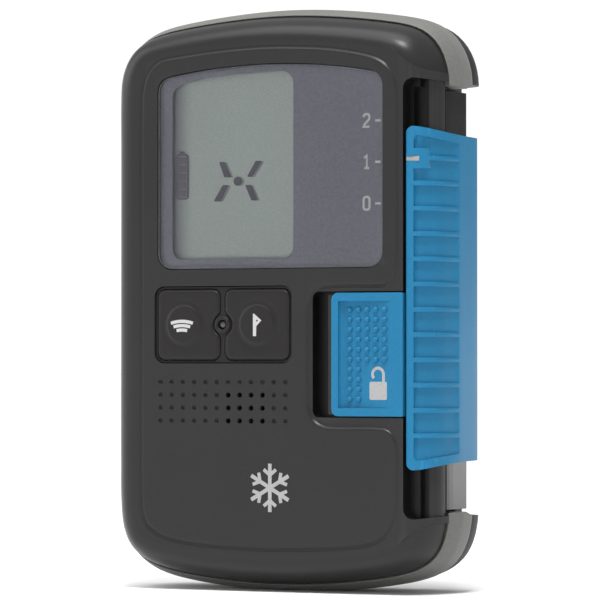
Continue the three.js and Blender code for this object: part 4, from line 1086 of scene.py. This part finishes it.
world = bpy.data.worlds.new("studio")
world.use_nodes = True
wt = world.node_tree
bg = wt.nodes["Background"]
wc = wt.nodes.new("ShaderNodeTexCoord")
wx = wt.nodes.new("ShaderNodeSeparateXYZ")
wt.links.new(wc.outputs["Generated"], wx.inputs["Vector"])
wr = wt.nodes.new("ShaderNodeMapRange")
wr.interpolation_type = "SMOOTHSTEP"
wr.inputs["From Min"].default_value, wr.inputs["From Max"].default_value = 0.10, 0.42
wr.inputs["To Min"].default_value, wr.inputs["To Max"].default_value = 1.05, 0.34
wt.links.new(wx.outputs["Z"], wr.inputs["Value"])
# the back-right quarter is flagged off above the table
wd = wt.nodes.new("ShaderNodeVectorMath")
wd.operation = "DOT_PRODUCT"
wd.inputs[1].default_value = (0.62, 0.785, 0)
wt.links.new(wc.outputs["Generated"], wd.inputs[0])
wa = wt.nodes.new("ShaderNodeMapRange")
wa.interpolation_type = "SMOOTHSTEP"
wa.inputs["From Min"].default_value, wa.inputs["From Max"].default_value = 0.80, 0.93
wt.links.new(wd.outputs["Value"], wa.inputs["Value"])
wb = wt.nodes.new("ShaderNodeMapRange")
wb.interpolation_type = "SMOOTHSTEP"
wb.inputs["From Min"].default_value, wb.inputs["From Max"].default_value = 0.0, 0.05
wb.inputs["To Max"].default_value = 0.85
wt.links.new(wx.outputs["Z"], wb.inputs["Value"])
wm = wt.nodes.new("ShaderNodeMath")
wm.operation = "MULTIPLY"
wt.links.new(wa.outputs["Result"], wm.inputs[0])
wt.links.new(wb.outputs["Result"], wm.inputs[1])
wn = wt.nodes.new("ShaderNodeMath")
wn.operation = "SUBTRACT"
wn.inputs[0].default_value = 1
wt.links.new(wm.outputs[0], wn.inputs[1])
wp = wt.nodes.new("ShaderNodeMath")
wp.operation = "MULTIPLY"
wt.links.new(wr.outputs["Result"], wp.inputs[0])
wt.links.new(wn.outputs[0], wp.inputs[1])
wt.links.new(wp.outputs[0], bg.inputs["Strength"])
bg.inputs["Color"].default_value = (1, 1, 1, 1)
bpy.context.scene.world = world


def light(name, loc, target, size, power, size_y=None):
    d = bpy.data.lights.new(name, "AREA")
    d.shape = "RECTANGLE"
    d.size, d.size_y = size, size_y or size
    d.energy = power
    o = bpy.data.objects.new(name, d)
    bpy.context.scene.collection.objects.link(o)
    o.location = loc
    o.rotation_mode = "QUATERNION"
    o.rotation_quaternion = (Vector(target) - Vector(loc)).to_track_quat("-Z", "Y")
    return o


TGT = (0, 0, 0.06)
sun_d = bpy.data.lights.new("soft_sky", "SUN")
sun_d.energy = 2.35
sun_d.angle = math.radians(60)
sun = bpy.data.objects.new("soft_sky", sun_d)
bpy.context.scene.collection.objects.link(sun)
sun.rotation_mode = "QUATERNION"
sun.rotation_quaternion = Vector((0.1, 0.18, -1)).to_track_quat("-Z", "Y")
light("overhead", (0.14, -0.24, 0.75), TGT, 0.20, 4.2)
light("left", (-0.78, -0.16, 0.50), (0, 0, 0.08), 0.55, 2.2, 0.70)
light("low_strip", (0.30, 0.50, 0.035), (0.03, 0, 0.03), 0.45, 0.12, 0.07)

cam_d = bpy.data.cameras.new("camera")
cam = bpy.data.objects.new("camera", cam_d)
bpy.context.scene.collection.objects.link(cam)
bpy.context.scene.camera = cam
AZ, DIST, FPX, CX, CY, ZH = math.radians(27.0), 820.0, 4.93 * 820.0, 265.0, 360.0, 47.1
f = Vector((-math.sin(AZ), math.cos(AZ), 0))
r = Vector((math.cos(AZ), math.sin(AZ), 0))
loc = Vector((0, -DM, ZH)) - f * DIST
look = f + r * ((300 - CX) / FPX) + Vector((0, 0, 1)) * ((CY - 300) / FPX)
cam.location = loc * 0.001
cam.rotation_mode = "QUATERNION"
cam.rotation_quaternion = look.to_track_quat("-Z", "Y")
cam_d.sensor_width = 36
cam_d.lens = 36 * FPX / 600
cam_d.clip_start, cam_d.clip_end = 0.05, 20

bpy.context.scene.view_settings.view_transform = "Standard"
bpy.context.scene.view_settings.look = "None"
